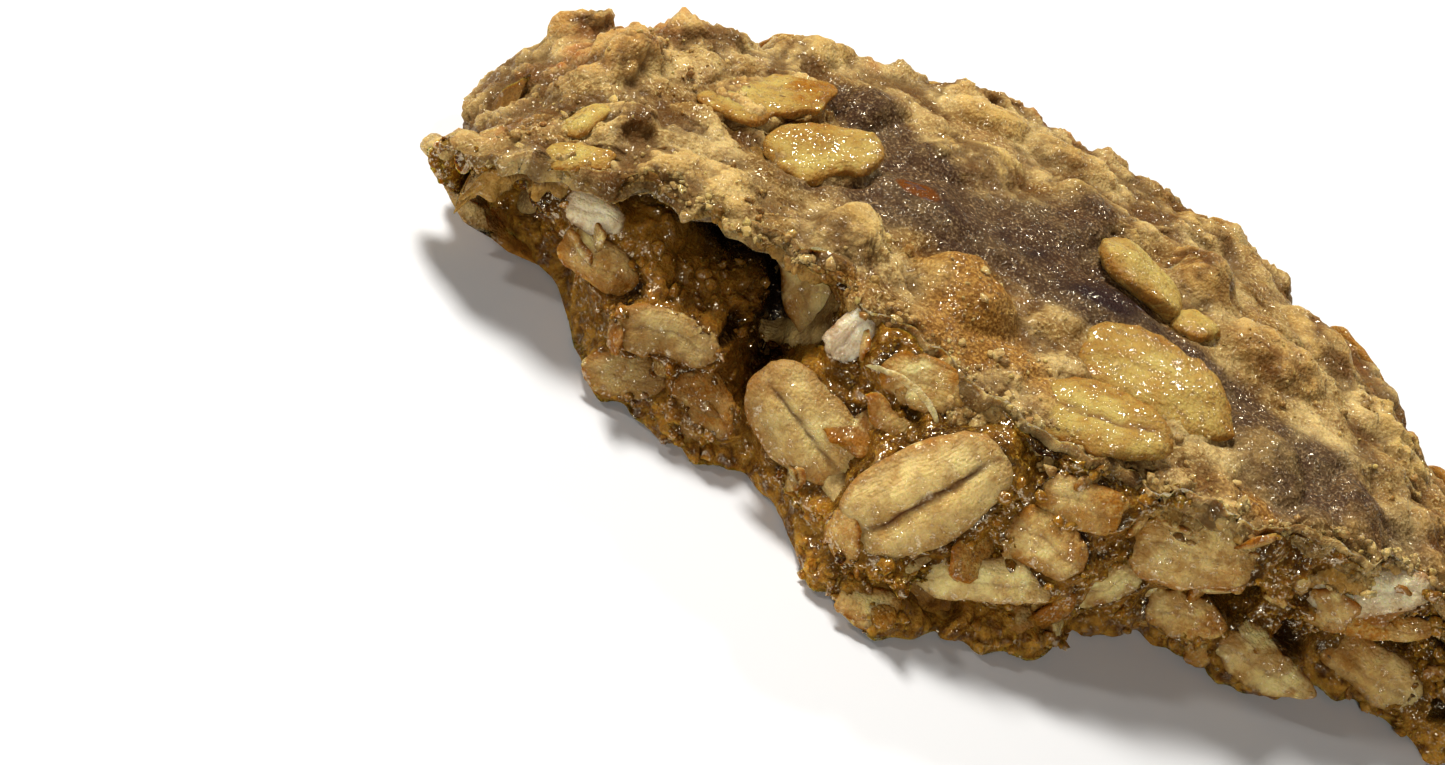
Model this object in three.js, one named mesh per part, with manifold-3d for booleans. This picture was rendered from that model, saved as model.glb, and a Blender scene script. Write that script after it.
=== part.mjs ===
// Half of a round oatmeal raisin cookie, broken across the middle and lying flat.
// Millimetres, +Z up. The origin is the middle of the whole round cookie, on the surface
// that it rests on. The broken side faces -Y, and the baked rim curves round the +Y side.

import * as THREE from 'three';
import { mergeVertices } from 'three/addons/utils/BufferGeometryUtils.js';
import Module from 'manifold-3d';

// ---- the whole cookie ----
const RADIUS = 46; // of the round cookie before it broke
const CROWN = 16.6; // height in the middle
const SHOULDER = 12.6; // height where the top turns over into the rim
const CURL = 6.8; // how high the thin left end curls off the surface
const CURL_START = 0.4; // what is taken off that curl, so that the rest lies quite flat
const SHOULDER_ROUND = 5; // how far in from the rim that turn begins
const WIDEST = 0.42; // share of the height at which the rim is widest
const FOOT = 2.2; // how far the rim draws in at the bottom
const CORNER = 1.2; // softness of the two corners where the break meets the rim, mm
const CENTRE = [0, 19]; // inside the half, where the rows of the top and bottom meet

// ---- how finely it is faceted ----
const STEPS_AROUND = 118;
const STEPS_UP = 8;
const STEPS_IN = 8;
const BOTTOM_RINGS = [0.3, 0.12]; // how far in towards the centre each lies

// ---- rolled oats and raisins ----
const OAT_THICK = 0.3; // thickness of a flake, as a share of its width
const OAT_LENGTH = 9.2; // of the flakes that the rule spreads
const OAT_SLIM = 0.66; // width of those flakes, as a share of their length
const OAT_SPACING = 8.6; // and how far apart they lie
const POCKET_GAP = 0.3; // clearance round a raisin in the dough

// The rim swells out and falls back: [degrees from +Y towards +X, half width, height in mm].
const RIM_LOBES = [
  [-80, 4, 0.4], [-74, 3.5, -1.6], [-58, 10, 4], [-34, 7, -1.2], [-16, 9, -1.8], [30, 7, 2.8],
  [39, 3, -1.4], [51, 9, 4.2], [68, 8, 3.2], [86, 8, 3.2],
];

// The broken edge as it runs from left to right, [x, y]: of the top crust and of the bottom.
const TOP_EDGE = [
  [-46, 6.6], [-37, 5], [-28, 4], [-15, 3.2], [-8, 0.2], [2, -3.2],
  [8, -4.2], [20, -2.8], [29, 0.4], [37, 3.6], [46, 5],
];
const BOTTOM_EDGE = [
  [-46, 10], [-38, 9.6], [-31.5, 8], [-28, 1.6], [-25, -1.2], [-17, -3], [-12, -2.6], [-5, -11.2],
  [0, -13], [4, -9.8], [11, -8.8], [14.5, -3.2], [21, 0], [29, -1.4], [35, 3], [41, 3],
  [48, 0],
];

// What the break tore out (positive) or left standing (negative), seen from the front:
// [x, z, half width, half height, depth].
const BITES = [
  [-21, 12, 7.5, 2.3, 8.5], [-22.5, 5.6, 6, 2.8, -2.4], [-15.6, 8.6, 2, 4, 7],
  [-38, 2, 8, 3.5, 4], [-4, 6, 8, 3, -3], [3, 3.2, 9, 1.3, 2.2], [25, 7, 2.6, 1.5, 4.4],
  [35, 5.6, 8, 1.8, 2.2],
];

// Swellings and hollows of the top: [x, y, half length, half width, turn in degrees, height].
const LUMPS = [
  [-8, 16, 7, 4.6, -7, 0.9], [8, 14, 8, 4.4, -17, 0.8], [4.6, 25, 5.5, 4, 60, 1.2],
  [-34, 20.5, 5.4, 3.6, 60, 2], [-38.5, 28.4, 4, 4, 0, 3], [15.7, 24.7, 4.6, 4, -44, 1.7],
  [22, 18.5, 6, 5, 5, 1], [-3.8, 8, 5.5, 4.6, -19, 0.9], [-13.6, 7.8, 3.8, 3.8, 0, 1.2],
  [-31.6, 12, 3.2, 2.6, 60, 1.1], [-41.5, 17.4, 2.2, 2.2, 0, -2.4], [-12, 24.6, 4, 3, -39, -0.7],
  [20, 11.5, 5, 2.5, 20, -0.8], [31, 12, 9, 2, 20, 0.8], [-6, 2.6, 4, 2.4, 6, 0.5],
];

// Flakes that lie on the top: [x, y, length, width, turn in degrees, how far it stands proud].
const TOP_OATS = [
  [-28.6, 31, 12.5, 6, 45, 0.5], [-38.4, 28.6, 7.4, 5.4, 68, 1], [-34, 21, 9.6, 6, 60, 0.8],
  [-22, 23.2, 12.6, 6.6, 46, 0.4], [-17, 17.4, 9.8, 6.2, 37, 1.2], [-26.3, 7.2, 11.6, 7.4, 10, 0.3],
  [-31.7, 12, 6, 4.4, 61, 0.4], [-34.8, 11.4, 4.4, 2.6, 63, 0.7], [-34.2, 6.4, 5.4, 3, 22, 0.5],
  [-5, 40.4, 10, 4.6, 30, 0.7], [-3.8, 36, 7, 6, 0, 0.5], [-5.4, 26.4, 12.2, 6, 30, 0.6],
  [4, 35.4, 8.4, 5, -8, 0.5], [9.9, 19.7, 8.8, 6.8, -19, 1.5], [15.7, 24.7, 8, 6.6, -44, 0.7],
  [15.2, 17.4, 4.6, 3.6, 40, 1.2], [12.2, 8, 13, 8.8, -12, 0.7], [7.4, 0.2, 11, 7, -5, 0.9],
  [22.6, 19, 9.6, 7.4, 5, 0.2], [-3.8, 7.9, 9, 7.8, -19, 0.2], [-13.6, 7.8, 6.8, 6, -15, 0.6],
  [17.2, 35.6, 8.4, 5.4, 12, 0.5], [28, 27, 9, 6, -50, 0.4], [35.6, 20, 8.4, 5.6, -66, 0.5],
];

// Flakes that stand out of the break: [x, z, length, width, turn in the broken face, proud].
const FACE_OATS = [
  [-31.4, 10.4, 4.4, 2.8, 5, 0.7], [-29.4, 7.6, 7, 3.6, -14, 0.7], [-23, 7.4, 8, 3.6, 9, 1.2],
  [-11.2, 7.2, 10.6, 6.6, -22, 1.1], [-11.1, 13.6, 4.6, 2.8, 78, 0.8], [-14.6, 11, 8, 4, -60, 0.8],
  [-1.8, 9.8, 12.8, 8.4, 54, 1.6], [-4.4, 14.4, 8.6, 3.6, 6, 0.5], [7.6, 10, 6.6, 4.6, -12, 0.8],
  [8.6, 13.4, 7.6, 3.8, 9, 0.7], [18.4, 11.8, 10.6, 6, 22, 0.8], [5, 5.8, 10, 3.4, 14, 0.9],
  [14.4, 5.8, 6.6, 3.2, 50, 0.8], [21.6, 4.6, 6.4, 3.4, 8, 0.5], [29.4, 2.9, 8.8, 4, -7, 0.7],
  [33.4, 11.2, 10.6, 3, 30, 0.8], [36.2, 8.2, 9, 2.6, 20, 0.6], [39, 3.2, 8.6, 4.4, -12, 0.9],
  [-24.4, 2.6, 6.4, 3.6, 12, 0.5], [-18.2, 4.4, 6, 3.6, -28, 0.6],
];

// Raisins: [name, x, y, z of the middle, length, width, height, turn in degrees].
const RAISINS = [
  ['raisin_front', -8, 16, 14.6, 11.5, 8, 5.6, -7],
  ['raisin_middle', 8, 14, 14.6, 13, 8, 5.6, -17],
  ['raisin_rim', 10, 42.8, 7.2, 12, 6.4, 7.2, -13],
];

const radians = THREE.MathUtils.degToRad;

// ---------------------------------------------------------------- the shape of the dough

/** y at x of a curve that eases from station to station. */
function along(stations, x) {
  let i = 0;
  while (i < stations.length - 2 && x > stations[i + 1][0]) i += 1;
  const [x0, y0] = stations[i];
  const [x1, y1] = stations[i + 1];
  return THREE.MathUtils.lerp(y0, y1, THREE.MathUtils.smoothstep(x, x0, x1));
}

/** Radius of the rim at an angle from +Y towards +X, with its lobes and small crags. */
function rimRadius(angle) {
  const crags = 0.45 * Math.sin(23 * angle + 1) + 0.3 * Math.sin(41 * angle);
  return RIM_LOBES.reduce(
    (r, [at, spread, out]) =>
      r + out * Math.exp(-(((THREE.MathUtils.radToDeg(angle) - at) / spread) ** 2)),
    RADIUS + crags,
  );
}

function rimPoint(angle) {
  const r = rimRadius(angle);
  return [r * Math.sin(angle), r * Math.cos(angle)];
}

/** The crust's broken edge: the stations with small crags on them. */
function brokenEdge(x) {
  return along(TOP_EDGE, x) + 0.35 * Math.sin(1.3 * x + 0.8) + 0.25 * Math.sin(2.3 * x);
}

/** Height of the top: a flat dome, thinner at both ends of the break, with its swellings. */
function topHeight(x, y) {
  const out = Math.min(Math.hypot(x, y) / RADIUS, 1.1);
  let z = SHOULDER + (CROWN - SHOULDER) * (1 - out ** 3);
  z -= 3.8 * Math.exp(-(((x + RADIUS) / 9) ** 2)) + 1.5 * Math.exp(-(((x - RADIUS) / 9) ** 2));
  for (const [cx, cy, long, wide, turn, high] of LUMPS) {
    const [c, s] = [Math.cos(radians(turn)), Math.sin(radians(turn))];
    const a = ((x - cx) * c + (y - cy) * s) / long;
    const b = ((y - cy) * c - (x - cx) * s) / wide;
    z += high * Math.exp(-1.6 * (a * a + b * b));
  }
  return z + 0.3 * Math.sin(0.75 * x + 1.2 * Math.sin(0.4 * y)) * Math.sin(0.68 * y + 0.9);
}

/** Height of the underside: flat, but for the thin left end that curls up. */
function bottomHeight(x, y) {
  const curl = CURL * Math.exp(-(((x + RADIUS) / 8.4) ** 2) - ((y - 6) / 10) ** 2);
  return Math.max(0, curl - CURL_START);
}

/** How far the break lies behind the crust's edge at a share of the height there. */
function breakDepth(x, share) {
  const z = share * topHeight(x, along(TOP_EDGE, x));
  let y = (1 - share) * (along(BOTTOM_EDGE, x) - along(TOP_EDGE, x));
  for (const [cx, cz, wide, high, depth] of BITES) {
    y += depth * Math.exp(-(((x - cx) / wide) ** 2) - ((z - cz) / high) ** 2);
  }
  return y + 0.35 * Math.sin(0.8 * x + 0.6 * z) * Math.sin(0.7 * z + 0.5);
}

/** How far the rim draws in at a share of its height: a foot below, a round shoulder above. */
function rimInset(share) {
  if (share < WIDEST) return FOOT * ((WIDEST - share) / WIDEST) ** 2.2;
  return SHOULDER_ROUND * (1 - Math.sqrt(1 - ((share - WIDEST) / (1 - WIDEST)) ** 2));
}

/** Angle at which the broken edge meets the rim, found by walking back and forth. */
function cornerAngle(side) {
  let angle = side * Math.PI / 2;
  for (let i = 0; i < 40; i += 1) {
    const [x] = rimPoint(angle);
    angle = side * Math.acos(brokenEdge(x) / rimRadius(angle));
  }
  return angle;
}

const LEFT = cornerAngle(-1);
const RIGHT = cornerAngle(1);
const LEFT_CORNER = rimPoint(LEFT);
const RIGHT_CORNER = rimPoint(RIGHT);
const BREAK_LENGTH = RIGHT_CORNER[0] - LEFT_CORNER[0];
const RIM_LENGTH = (RIGHT - LEFT) * RADIUS;
const PERIMETER = BREAK_LENGTH + RIM_LENGTH;

const soft = (d) => CORNER * Math.log1p(Math.exp(d / CORNER));

/**
 * The edge of the top crust at s mm along it, from the left corner over the break and back
 * over the rim: its point, the way inwards, and how much it is rim (0 on the break).
 * Near a corner the path is the break and the rim added up, less the corner itself, each
 * of them walked only as far as its softened length.
 */
function edge(s) {
  const nearRight = s > BREAK_LENGTH / 2 && s < BREAK_LENGTH + RIM_LENGTH / 2;
  const past = nearRight ? s - BREAK_LENGTH : (s > PERIMETER / 2 ? s - PERIMETER : s);
  const onBreak = nearRight ? -soft(-past) : soft(past);
  const onRim = nearRight ? soft(past) : -soft(-past);
  const corner = nearRight ? RIGHT_CORNER : LEFT_CORNER;
  const x = corner[0] + onBreak;
  const angle = (nearRight ? RIGHT : LEFT) - onRim / RADIUS;
  const [rimX, rimY] = rimPoint(angle);
  const rim = THREE.MathUtils.smoothstep(nearRight ? past : -past, -3, 3);
  const inward = new THREE.Vector2(-rim * Math.sin(angle), (1 - rim) - rim * Math.cos(angle));
  inward.normalize();
  return { x: x + rimX - corner[0], y: brokenEdge(x) + rimY - corner[1], inward, rim, at: x };
}

/** A point of the side wall at s mm along the edge and a share of the height. */
function wallPoint(s, share) {
  const e = edge(s);
  const into = (1 - e.rim) * breakDepth(e.at, share) + e.rim * rimInset(share);
  const x = e.x + into * e.inward.x;
  const y = e.y + into * e.inward.y;
  return [x, y, THREE.MathUtils.lerp(bottomHeight(x, y), topHeight(x, y), share)];
}

/** Joins rings of points, each as long as the last, into one skin closed by two end points. */
function skin(rings, first, last) {
  const around = rings[0].length;
  const points = [first, ...rings.flat(), last];
  const index = [];
  const at = (row, i) => 1 + row * around + (i % around);
  for (let i = 0; i < around; i += 1) {
    index.push(0, at(0, i + 1), at(0, i));
    for (let row = 0; row < rings.length - 1; row += 1) {
      index.push(at(row, i), at(row, i + 1), at(row + 1, i));
      index.push(at(row, i + 1), at(row + 1, i + 1), at(row + 1, i));
    }
    index.push(at(rings.length - 1, i), at(rings.length - 1, i + 1), points.length - 1);
  }
  const geometry = new THREE.BufferGeometry();
  geometry.setAttribute('position', new THREE.Float32BufferAttribute(points.flat(), 3));
  geometry.setIndex(index);
  return geometry;
}

/** A ring of points, drawn in by a share of the way to the centre, on a surface height(x, y). */
function drawnIn(ring, share, height) {
  return ring.map(([x, y]) => {
    const px = THREE.MathUtils.lerp(x, CENTRE[0], share);
    const py = THREE.MathUtils.lerp(y, CENTRE[1], share);
    return [px, py, height(px, py)];
  });
}

/** The dough: rings out over the bottom, up the wall, and in over the top. */
function doughGeometry() {
  const lengths = Array.from({ length: STEPS_AROUND }, (_, i) => (i * PERIMETER) / STEPS_AROUND);
  const wall = [];
  for (let k = 0; k <= STEPS_UP; k += 1) {
    const share = Math.sin((Math.PI / 2) * (k / STEPS_UP));
    wall.push(lengths.map((s) => wallPoint(s, share)));
  }
  const bottom = BOTTOM_RINGS.map((share) => drawnIn(wall[0], share, bottomHeight));
  const top = [];
  for (let k = 1; k < STEPS_IN; k += 1) top.push(drawnIn(wall.at(-1), k / STEPS_IN, topHeight));
  return skin([...bottom, ...wall, ...top], [...CENTRE, 0], [...CENTRE, topHeight(...CENTRE)]);
}

// ---------------------------------------------------------------- oats and raisins

/**
 * A rolled oat about its own middle, lying flat: a lens with its length along x, narrower at
 * one end, and dented along its middle.
 */
function oatGeometry(length, width, proud) {
  const geometry = new THREE.SphereGeometry(1, 7, 4).rotateZ(-Math.PI / 2);
  const position = geometry.attributes.position;
  const thick = OAT_THICK * width + proud;
  for (let i = 0; i < position.count; i += 1) {
    const [a, b, c] = [position.getX(i), position.getY(i), position.getZ(i)];
    const crease = c > 0 ? 1 - 0.25 * Math.exp(-((b / 0.3) ** 2)) : 1;
    position.setXYZ(
      i, (a * length) / 2, (b * width * (1 - 0.18 * a)) / 2, (c * thick * crease) / 2,
    );
  }
  return geometry;
}

/** Stands a shape at a point, its length turned in the surface whose outward way is given. */
function settle(geometry, point, outward, right, turn) {
  const z = outward.clone().normalize();
  const x = right.clone().addScaledVector(z, -right.dot(z)).normalize();
  const y = z.clone().cross(x);
  const place = new THREE.Matrix4().makeBasis(x, y, z).setPosition(...point);
  return geometry.applyMatrix4(new THREE.Matrix4().makeRotationZ(radians(turn)))
    .applyMatrix4(place);
}

/** Outward way of the top at x, y, from its slope. */
function topOutward(x, y) {
  const d = 0.5;
  const dx = (topHeight(x + d, y) - topHeight(x - d, y)) / (2 * d);
  const dy = (topHeight(x, y + d) - topHeight(x, y - d)) / (2 * d);
  return new THREE.Vector3(-dx, -dy, 1);
}

const RIGHTWARDS = new THREE.Vector3(1, 0, 0);
const FACE_OUTWARD = new THREE.Vector3(-0.1, -0.88, 0.46);

const topOats = TOP_OATS.map(([x, y, length, width, turn, proud]) => settle(
  oatGeometry(length, width, proud), [x, y, topHeight(x, y) - 0.2],
  topOutward(x, y), RIGHTWARDS, turn,
));

const faceOats = FACE_OATS.map(([x, z, length, width, turn, proud]) => {
  const share = z / topHeight(x, brokenEdge(x));
  return settle(
    oatGeometry(length, width, proud), [x, brokenEdge(x) + breakDepth(x, share), z],
    FACE_OUTWARD, RIGHTWARDS, turn,
  );
});

/** A number from 0 to 1 that depends on its seed alone. */
function draw(seed) {
  const wave = Math.sin(seed * 12.9898) * 43758.5453;
  return wave - Math.floor(wave);
}

/** Spots on the top in sunflower order that keep clear of the placed oats and the raisins. */
function freeSpots() {
  const taken = [...TOP_OATS, ...RAISINS.map(([, x, y]) => [x, y])];
  const count = Math.round((Math.PI * RADIUS ** 2) / (0.62 * OAT_SPACING ** 2));
  const spots = [];
  for (let i = 0; i < count; i += 1) {
    const r = (RADIUS - 3.5) * Math.sqrt((i + 0.5) / count);
    const [x, y] = [r * Math.cos(i * 2.39996), r * Math.sin(i * 2.39996)];
    const clear = [...taken, ...spots].every((o) => Math.hypot(o[0] - x, o[1] - y) > 0.9 * OAT_SPACING);
    if (clear && y > brokenEdge(x) + 3.5) spots.push([x, y, i]);
  }
  return spots;
}

const spreadOats = freeSpots().map(([x, y, seed]) => {
  const length = OAT_LENGTH * (0.8 + 0.4 * draw(seed));
  return settle(
    oatGeometry(length, OAT_SLIM * length, 0.2 + 0.5 * draw(seed + 0.3)),
    [x, y, topHeight(x, y) - 0.2], topOutward(x, y), RIGHTWARDS, 180 * draw(seed + 0.7),
  );
});

/** Oats that lie in the baked rim, one every OAT_SPACING along it, high and low in turn. */
const rimOats = [];
for (let s = OAT_SPACING; s < RIM_LENGTH - OAT_SPACING; s += 0.85 * OAT_SPACING) {
  const seed = Math.round(s);
  const share = 0.3 + 0.4 * (rimOats.length % 2) + 0.1 * draw(seed);
  const [x, y, z] = wallPoint(BREAK_LENGTH + s, share);
  const outward = new THREE.Vector3(x, y, share * 25);
  const right = new THREE.Vector3(y, -x, 0);
  const length = OAT_LENGTH * (0.75 + 0.35 * draw(seed + 0.5));
  const nearRaisin = Math.hypot(x - RAISINS[2][1], y - RAISINS[2][2]) < OAT_SPACING;
  if (!nearRaisin) {
    rimOats.push(settle(
      oatGeometry(length, OAT_SLIM * length, 0.4), [x, y, Math.max(z, 3.4)],
      outward, right, 40 * draw(seed + 0.9) - 20,
    ));
  }
}

/** A raisin about its own middle: an egg folded into ridges that run along it. */
function raisinGeometry(length, width, height, grown) {
  const geometry = new THREE.SphereGeometry(1, 14, 8).rotateZ(-Math.PI / 2);
  const position = geometry.attributes.position;
  for (let i = 0; i < position.count; i += 1) {
    const [a, b, c] = [position.getX(i), position.getY(i), position.getZ(i)];
    const round = Math.atan2(c, b);
    const fold = 1 + 0.09 * Math.sqrt(1 - a * a) * Math.sin(5 * round + 3 * a);
    position.setXYZ(
      i, a * (length / 2 + grown), b * (fold * width / 2 + grown), c * (fold * height / 2 + grown),
    );
  }
  return geometry;
}

function settledRaisin([, x, y, z, length, width, height, turn], grown) {
  return raisinGeometry(length, width, height, grown)
    .applyMatrix4(new THREE.Matrix4().makeRotationZ(radians(turn)).setPosition(x, y, z));
}

// ---------------------------------------------------------------- joining and cutting

const wasm = await Module();
wasm.setup();

function toSolid(geometry) {
  const bare = geometry.clone();
  bare.deleteAttribute('normal');
  bare.deleteAttribute('uv');
  const merged = mergeVertices(bare, 1e-4);
  return new wasm.Manifold(new wasm.Mesh({
    numProp: 3,
    vertProperties: Float32Array.from(merged.attributes.position.array),
    triVerts: Uint32Array.from(merged.index.array),
  }));
}

function toGeometry(solid) {
  const mesh = solid.getMesh();
  const geometry = new THREE.BufferGeometry();
  geometry.setAttribute('position', new THREE.BufferAttribute(mesh.vertProperties, 3));
  geometry.setIndex(new THREE.BufferAttribute(mesh.triVerts, 1));
  return geometry;
}

/** The largest of the pieces that a cut left, without its scraps. */
function largest(solid) {
  return solid.decompose().sort((a, b) => b.volume() - a.volume())[0];
}

let dough = toSolid(doughGeometry());
for (const oat of [...topOats, ...faceOats, ...spreadOats, ...rimOats]) {
  dough = dough.add(toSolid(oat));
}
for (const raisin of RAISINS) {
  dough = dough.subtract(toSolid(settledRaisin(raisin, POCKET_GAP)));
}
dough = largest(dough);

// ---------------------------------------------------------------- the scene

const crust = new THREE.MeshStandardMaterial({ color: 0xb07a35, roughness: 0.55, metalness: 0 });
const raisinSkin = new THREE.MeshStandardMaterial({ color: 0x2c1410, roughness: 0.3, metalness: 0 });

const cookie = new THREE.Group();
const half = new THREE.Mesh(toGeometry(dough), crust);
half.name = 'cookie_half';
cookie.add(half);

for (const raisin of RAISINS) {
  const mesh = new THREE.Mesh(toGeometry(toSolid(settledRaisin(raisin, 0))), raisinSkin);
  [mesh.name] = raisin;
  cookie.add(mesh);
}

export default cookie;
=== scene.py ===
# %% [markdown]
# # Half of an oatmeal raisin cookie
#
# A cookie like this is a stiff dough of rolled oats, brown sugar, butter and raisins. It bakes
# into a thick round with a domed top, a craggy rim and a flat underside, and breaks across the
# middle with a ragged side that shows the moist inside. This lesson makes one such half. It
# starts from plain solids of the half and its raisins, and lays finer surfaces in their place.
# Every length is in millimetres until it goes into a mesh, which wants metres.

import bpy
import numpy as np
from mathutils import Matrix, Vector


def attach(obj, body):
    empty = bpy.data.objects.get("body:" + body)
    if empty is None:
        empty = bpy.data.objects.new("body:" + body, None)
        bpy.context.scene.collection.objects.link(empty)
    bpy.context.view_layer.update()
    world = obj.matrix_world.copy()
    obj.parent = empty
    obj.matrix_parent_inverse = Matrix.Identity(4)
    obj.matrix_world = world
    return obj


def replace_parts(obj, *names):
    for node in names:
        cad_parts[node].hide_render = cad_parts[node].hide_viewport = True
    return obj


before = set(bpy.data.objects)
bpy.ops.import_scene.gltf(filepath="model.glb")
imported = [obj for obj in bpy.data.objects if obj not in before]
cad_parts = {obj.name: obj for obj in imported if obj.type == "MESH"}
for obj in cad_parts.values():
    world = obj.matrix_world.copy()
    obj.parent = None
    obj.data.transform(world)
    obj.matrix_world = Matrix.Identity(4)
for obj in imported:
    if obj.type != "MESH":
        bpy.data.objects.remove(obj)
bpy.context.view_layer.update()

MM = 0.001
print("solids:", sorted(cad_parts))

# %% [markdown]
# ## Sizes
#
# A few driving sizes fix the whole cookie. The rim of a dropped cookie swells and falls back,
# so its radius gets lobes, and its broken edge runs through a row of stations. They could be
# drawn by hand as curves, but as short lists of numbers they can be read and changed.

# %% Driving sizes
RADIUS = 46.0
# heights of the dome in the middle and at the rim, and the usual height of the break
CROWN = 16.6
SHOULDER = 12.6
WALL_HEIGHT = 15.0
# the rim's rounding at the top, the share of the height where it is widest, its inset at the foot
SHOULDER_ROUND = 5.0
WIDEST = 0.42
FOOT = 2.2
# how softly the break turns into the rim, and where the rings of the skin close
CORNER = 1.2
CENTRE = np.array([0.0, 19.0])

# how much lower the dome is at the left and the right end of the break, and over what length
LEFT_DROP, RIGHT_DROP, DROP_LENGTH = 3.8, 1.5, 9.0

# the underside's curl at the left end: x, y, half length, half width, height
CURL = (-RADIUS, 6, 8.4, 10, 6.8)
CURL_START = 0.4
print("whole cookie:", 2 * RADIUS, "mm across,", CROWN, "mm high in the middle")

# %% The rim's lobes and the broken edge
# the rim's lobes: degrees from +Y towards +X, half width, height
RIM_LOBES = [
    (-80, 4, 0.4), (-74, 3.5, -1.6), (-58, 10, 4), (-34, 7, -1.2), (-16, 9, -1.8),
    (30, 7, 2.8), (39, 3, -1.4), (51, 9, 4.2), (68, 8, 3.2), (86, 8, 3.2),
]

# the broken edge from left to right, x and y: of the top crust and of the underside
TOP_EDGE = np.array([
    (-46, 6.6), (-37, 5), (-28, 4), (-15, 3.2), (-8, 0.2), (2, -3.2),
    (8, -4.2), (20, -2.8), (29, 0.4), (37, 3.6), (46, 5),
])
BOTTOM_EDGE = np.array([
    (-46, 10), (-38, 9.6), (-31.5, 8), (-28, 1.6), (-25, -1.2), (-17, -3), (-12, -2.6),
    (-5, -11.2), (0, -13), (4, -9.8), (11, -8.8), (14.5, -3.2), (21, 0), (29, -1.4),
    (35, 3), (41, 3), (48, 0),
])
print(len(RIM_LOBES), "lobes,", len(TOP_EDGE), "and", len(BOTTOM_EDGE), "stations")

# %% Bites, swellings and hollows
# what the break tore out or left standing: x, z, half width, half height, depth
BITES = [
    (-21, 12, 7.5, 2.3, 8.5), (-22.5, 5.6, 6, 2.8, -2.4), (-15.6, 8.6, 2, 4, 7),
    (-38, 2, 8, 3.5, 4), (-4, 6, 8, 3, -3), (3, 3.2, 9, 1.3, 2.2), (25, 7, 2.6, 1.5, 4.4),
    (35, 5.6, 8, 1.8, 2.2),
]

# the two deepest bites, which open into the cavity under the crust
CAVITY_BITES = (0, 2)

# swellings and hollows of the top: x, y, half length, half width, turn in degrees, height
LUMPS = [
    (-8, 16, 7, 4.6, -7, 0.9), (8, 14, 8, 4.4, -17, 0.8), (4.6, 25, 5.5, 4, 60, 1.2),
    (-34, 20.5, 5.4, 3.6, 60, 2), (-38.5, 28.4, 4, 4, 0, 3), (15.7, 24.7, 4.6, 4, -44, 1.7),
    (22, 18.5, 6, 5, 5, 1), (-3.8, 8, 5.5, 4.6, -19, 0.9), (-13.6, 7.8, 3.8, 3.8, 0, 1.2),
    (-31.6, 12, 3.2, 2.6, 60, 1.1), (-41.5, 17.4, 2.2, 2.2, 0, -2.4),
    (-12, 24.6, 4, 3, -39, -0.7), (20, 11.5, 5, 2.5, 20, -0.8), (31, 12, 9, 2, 20, 0.8),
    (-6, 2.6, 4, 2.4, 6, 0.5),
]
print(len(BITES), "bites,", len(LUMPS), "swellings and hollows")

# %% [markdown]
# ## Roughness from numbers
#
# Baked dough is rough at every scale. Blender has displacement textures, but a relief that is
# worked out here is part of the mesh and comes out the same each time. Value noise puts a
# hashed random number on each corner of a lattice and eases between them. Grains put one
# random point into each cell and measure how far the nearest two are, which gives rounded
# crumbs with narrow cracks between them.

# %% Noise
def hashed(ix, iy, iz, seed):
    """A number from 0 to 1 for whole-number places: products with odd primes, bits mixed."""
    h = (ix * 374761393 + iy * 668265263 + iz * 1440662683 + seed * 144269) & 0xFFFFFFFF
    h = ((h ^ (h >> 13)) * 1274126177) & 0xFFFFFFFF
    return ((h ^ (h >> 16)) & 0xFFFFFF) / 0xFFFFFF


def noise(p, size, seed=0):
    """Value noise from -1 to 1 at points p: lattice values eased over cells of that size."""
    cell = np.floor(p / size).astype(np.int64)
    f = p / size - cell
    f = f * f * f * (f * (f * 6 - 15) + 10)
    total = np.zeros(p.shape[:-1])
    for corner in np.ndindex(2, 2, 2):
        weight = np.prod(np.where(corner, f, 1 - f), axis=-1)
        total += weight * hashed(*np.moveaxis(cell + corner, -1, 0), seed)
    return 2 * total - 1


PLACES = np.array([(0.3, 0, 0), (5, 2, 1), (9, 9, 9)])
print("noise at three places:", noise(PLACES, 2.0).round(2))

# %% Noise at many sizes
TURNED = np.linalg.qr(np.array([(3.0, 1, 2), (-1, 4, 1), (2, -1, 5)]))[0]


def rough(p, size, octaves=3, seed=0):
    """Noise at falling sizes, each half as strong as the last and turned off its lattice."""
    total = np.zeros(p.shape[:-1])
    for k in range(octaves):
        p = p @ TURNED
        total += 0.5**k * noise(p, size / 2**k, seed + 31 * k)
    return total / (2 - 0.5 ** (octaves - 1))


def wander(p, size, octaves, seed):
    """A vector of three rough numbers at each point, by which its place can be moved."""
    return np.stack([rough(p, size, octaves, seed + k) for k in range(3)], -1)


print("rough numbers there:", rough(PLACES, 2.0).round(2))

# %% Grains and crumbs
def grains(p, size, seed=0):
    """Scattered grains, one in each cell: distance to the nearest and to the next, in cells."""
    cell = np.floor(p / size).astype(np.int64)
    nearest = np.full(p.shape[:-1], 9.0)
    second = nearest.copy()
    for step in np.ndindex(3, 3, 3):
        c = cell + np.array(step) - 1
        at = np.stack([hashed(*np.moveaxis(c, -1, 0), seed + k) for k in range(3)], -1)
        d = np.linalg.norm(c + at - p / size, axis=-1)
        second = np.minimum(second, np.maximum(nearest, d))
        nearest = np.minimum(nearest, d)
    return nearest, second


def ease(x, low, high):
    """0 below low, 1 above high, and the smooth cubic between them."""
    t = np.clip((x - low) / (high - low), 0, 1)
    return t * t * (3 - 2 * t)


def crumbly(p, size, seed=0, crack=0.35):
    """Rounded crumbs: high in the middle of each grain, falling to the crack between two."""
    nearest, second = grains(p, size, seed)
    return np.clip(1 - nearest**2, 0, 1) * ease(second - nearest, 0.0, crack)


print("crumbs there:", crumbly(PLACES, 2.0).round(2))

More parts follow.
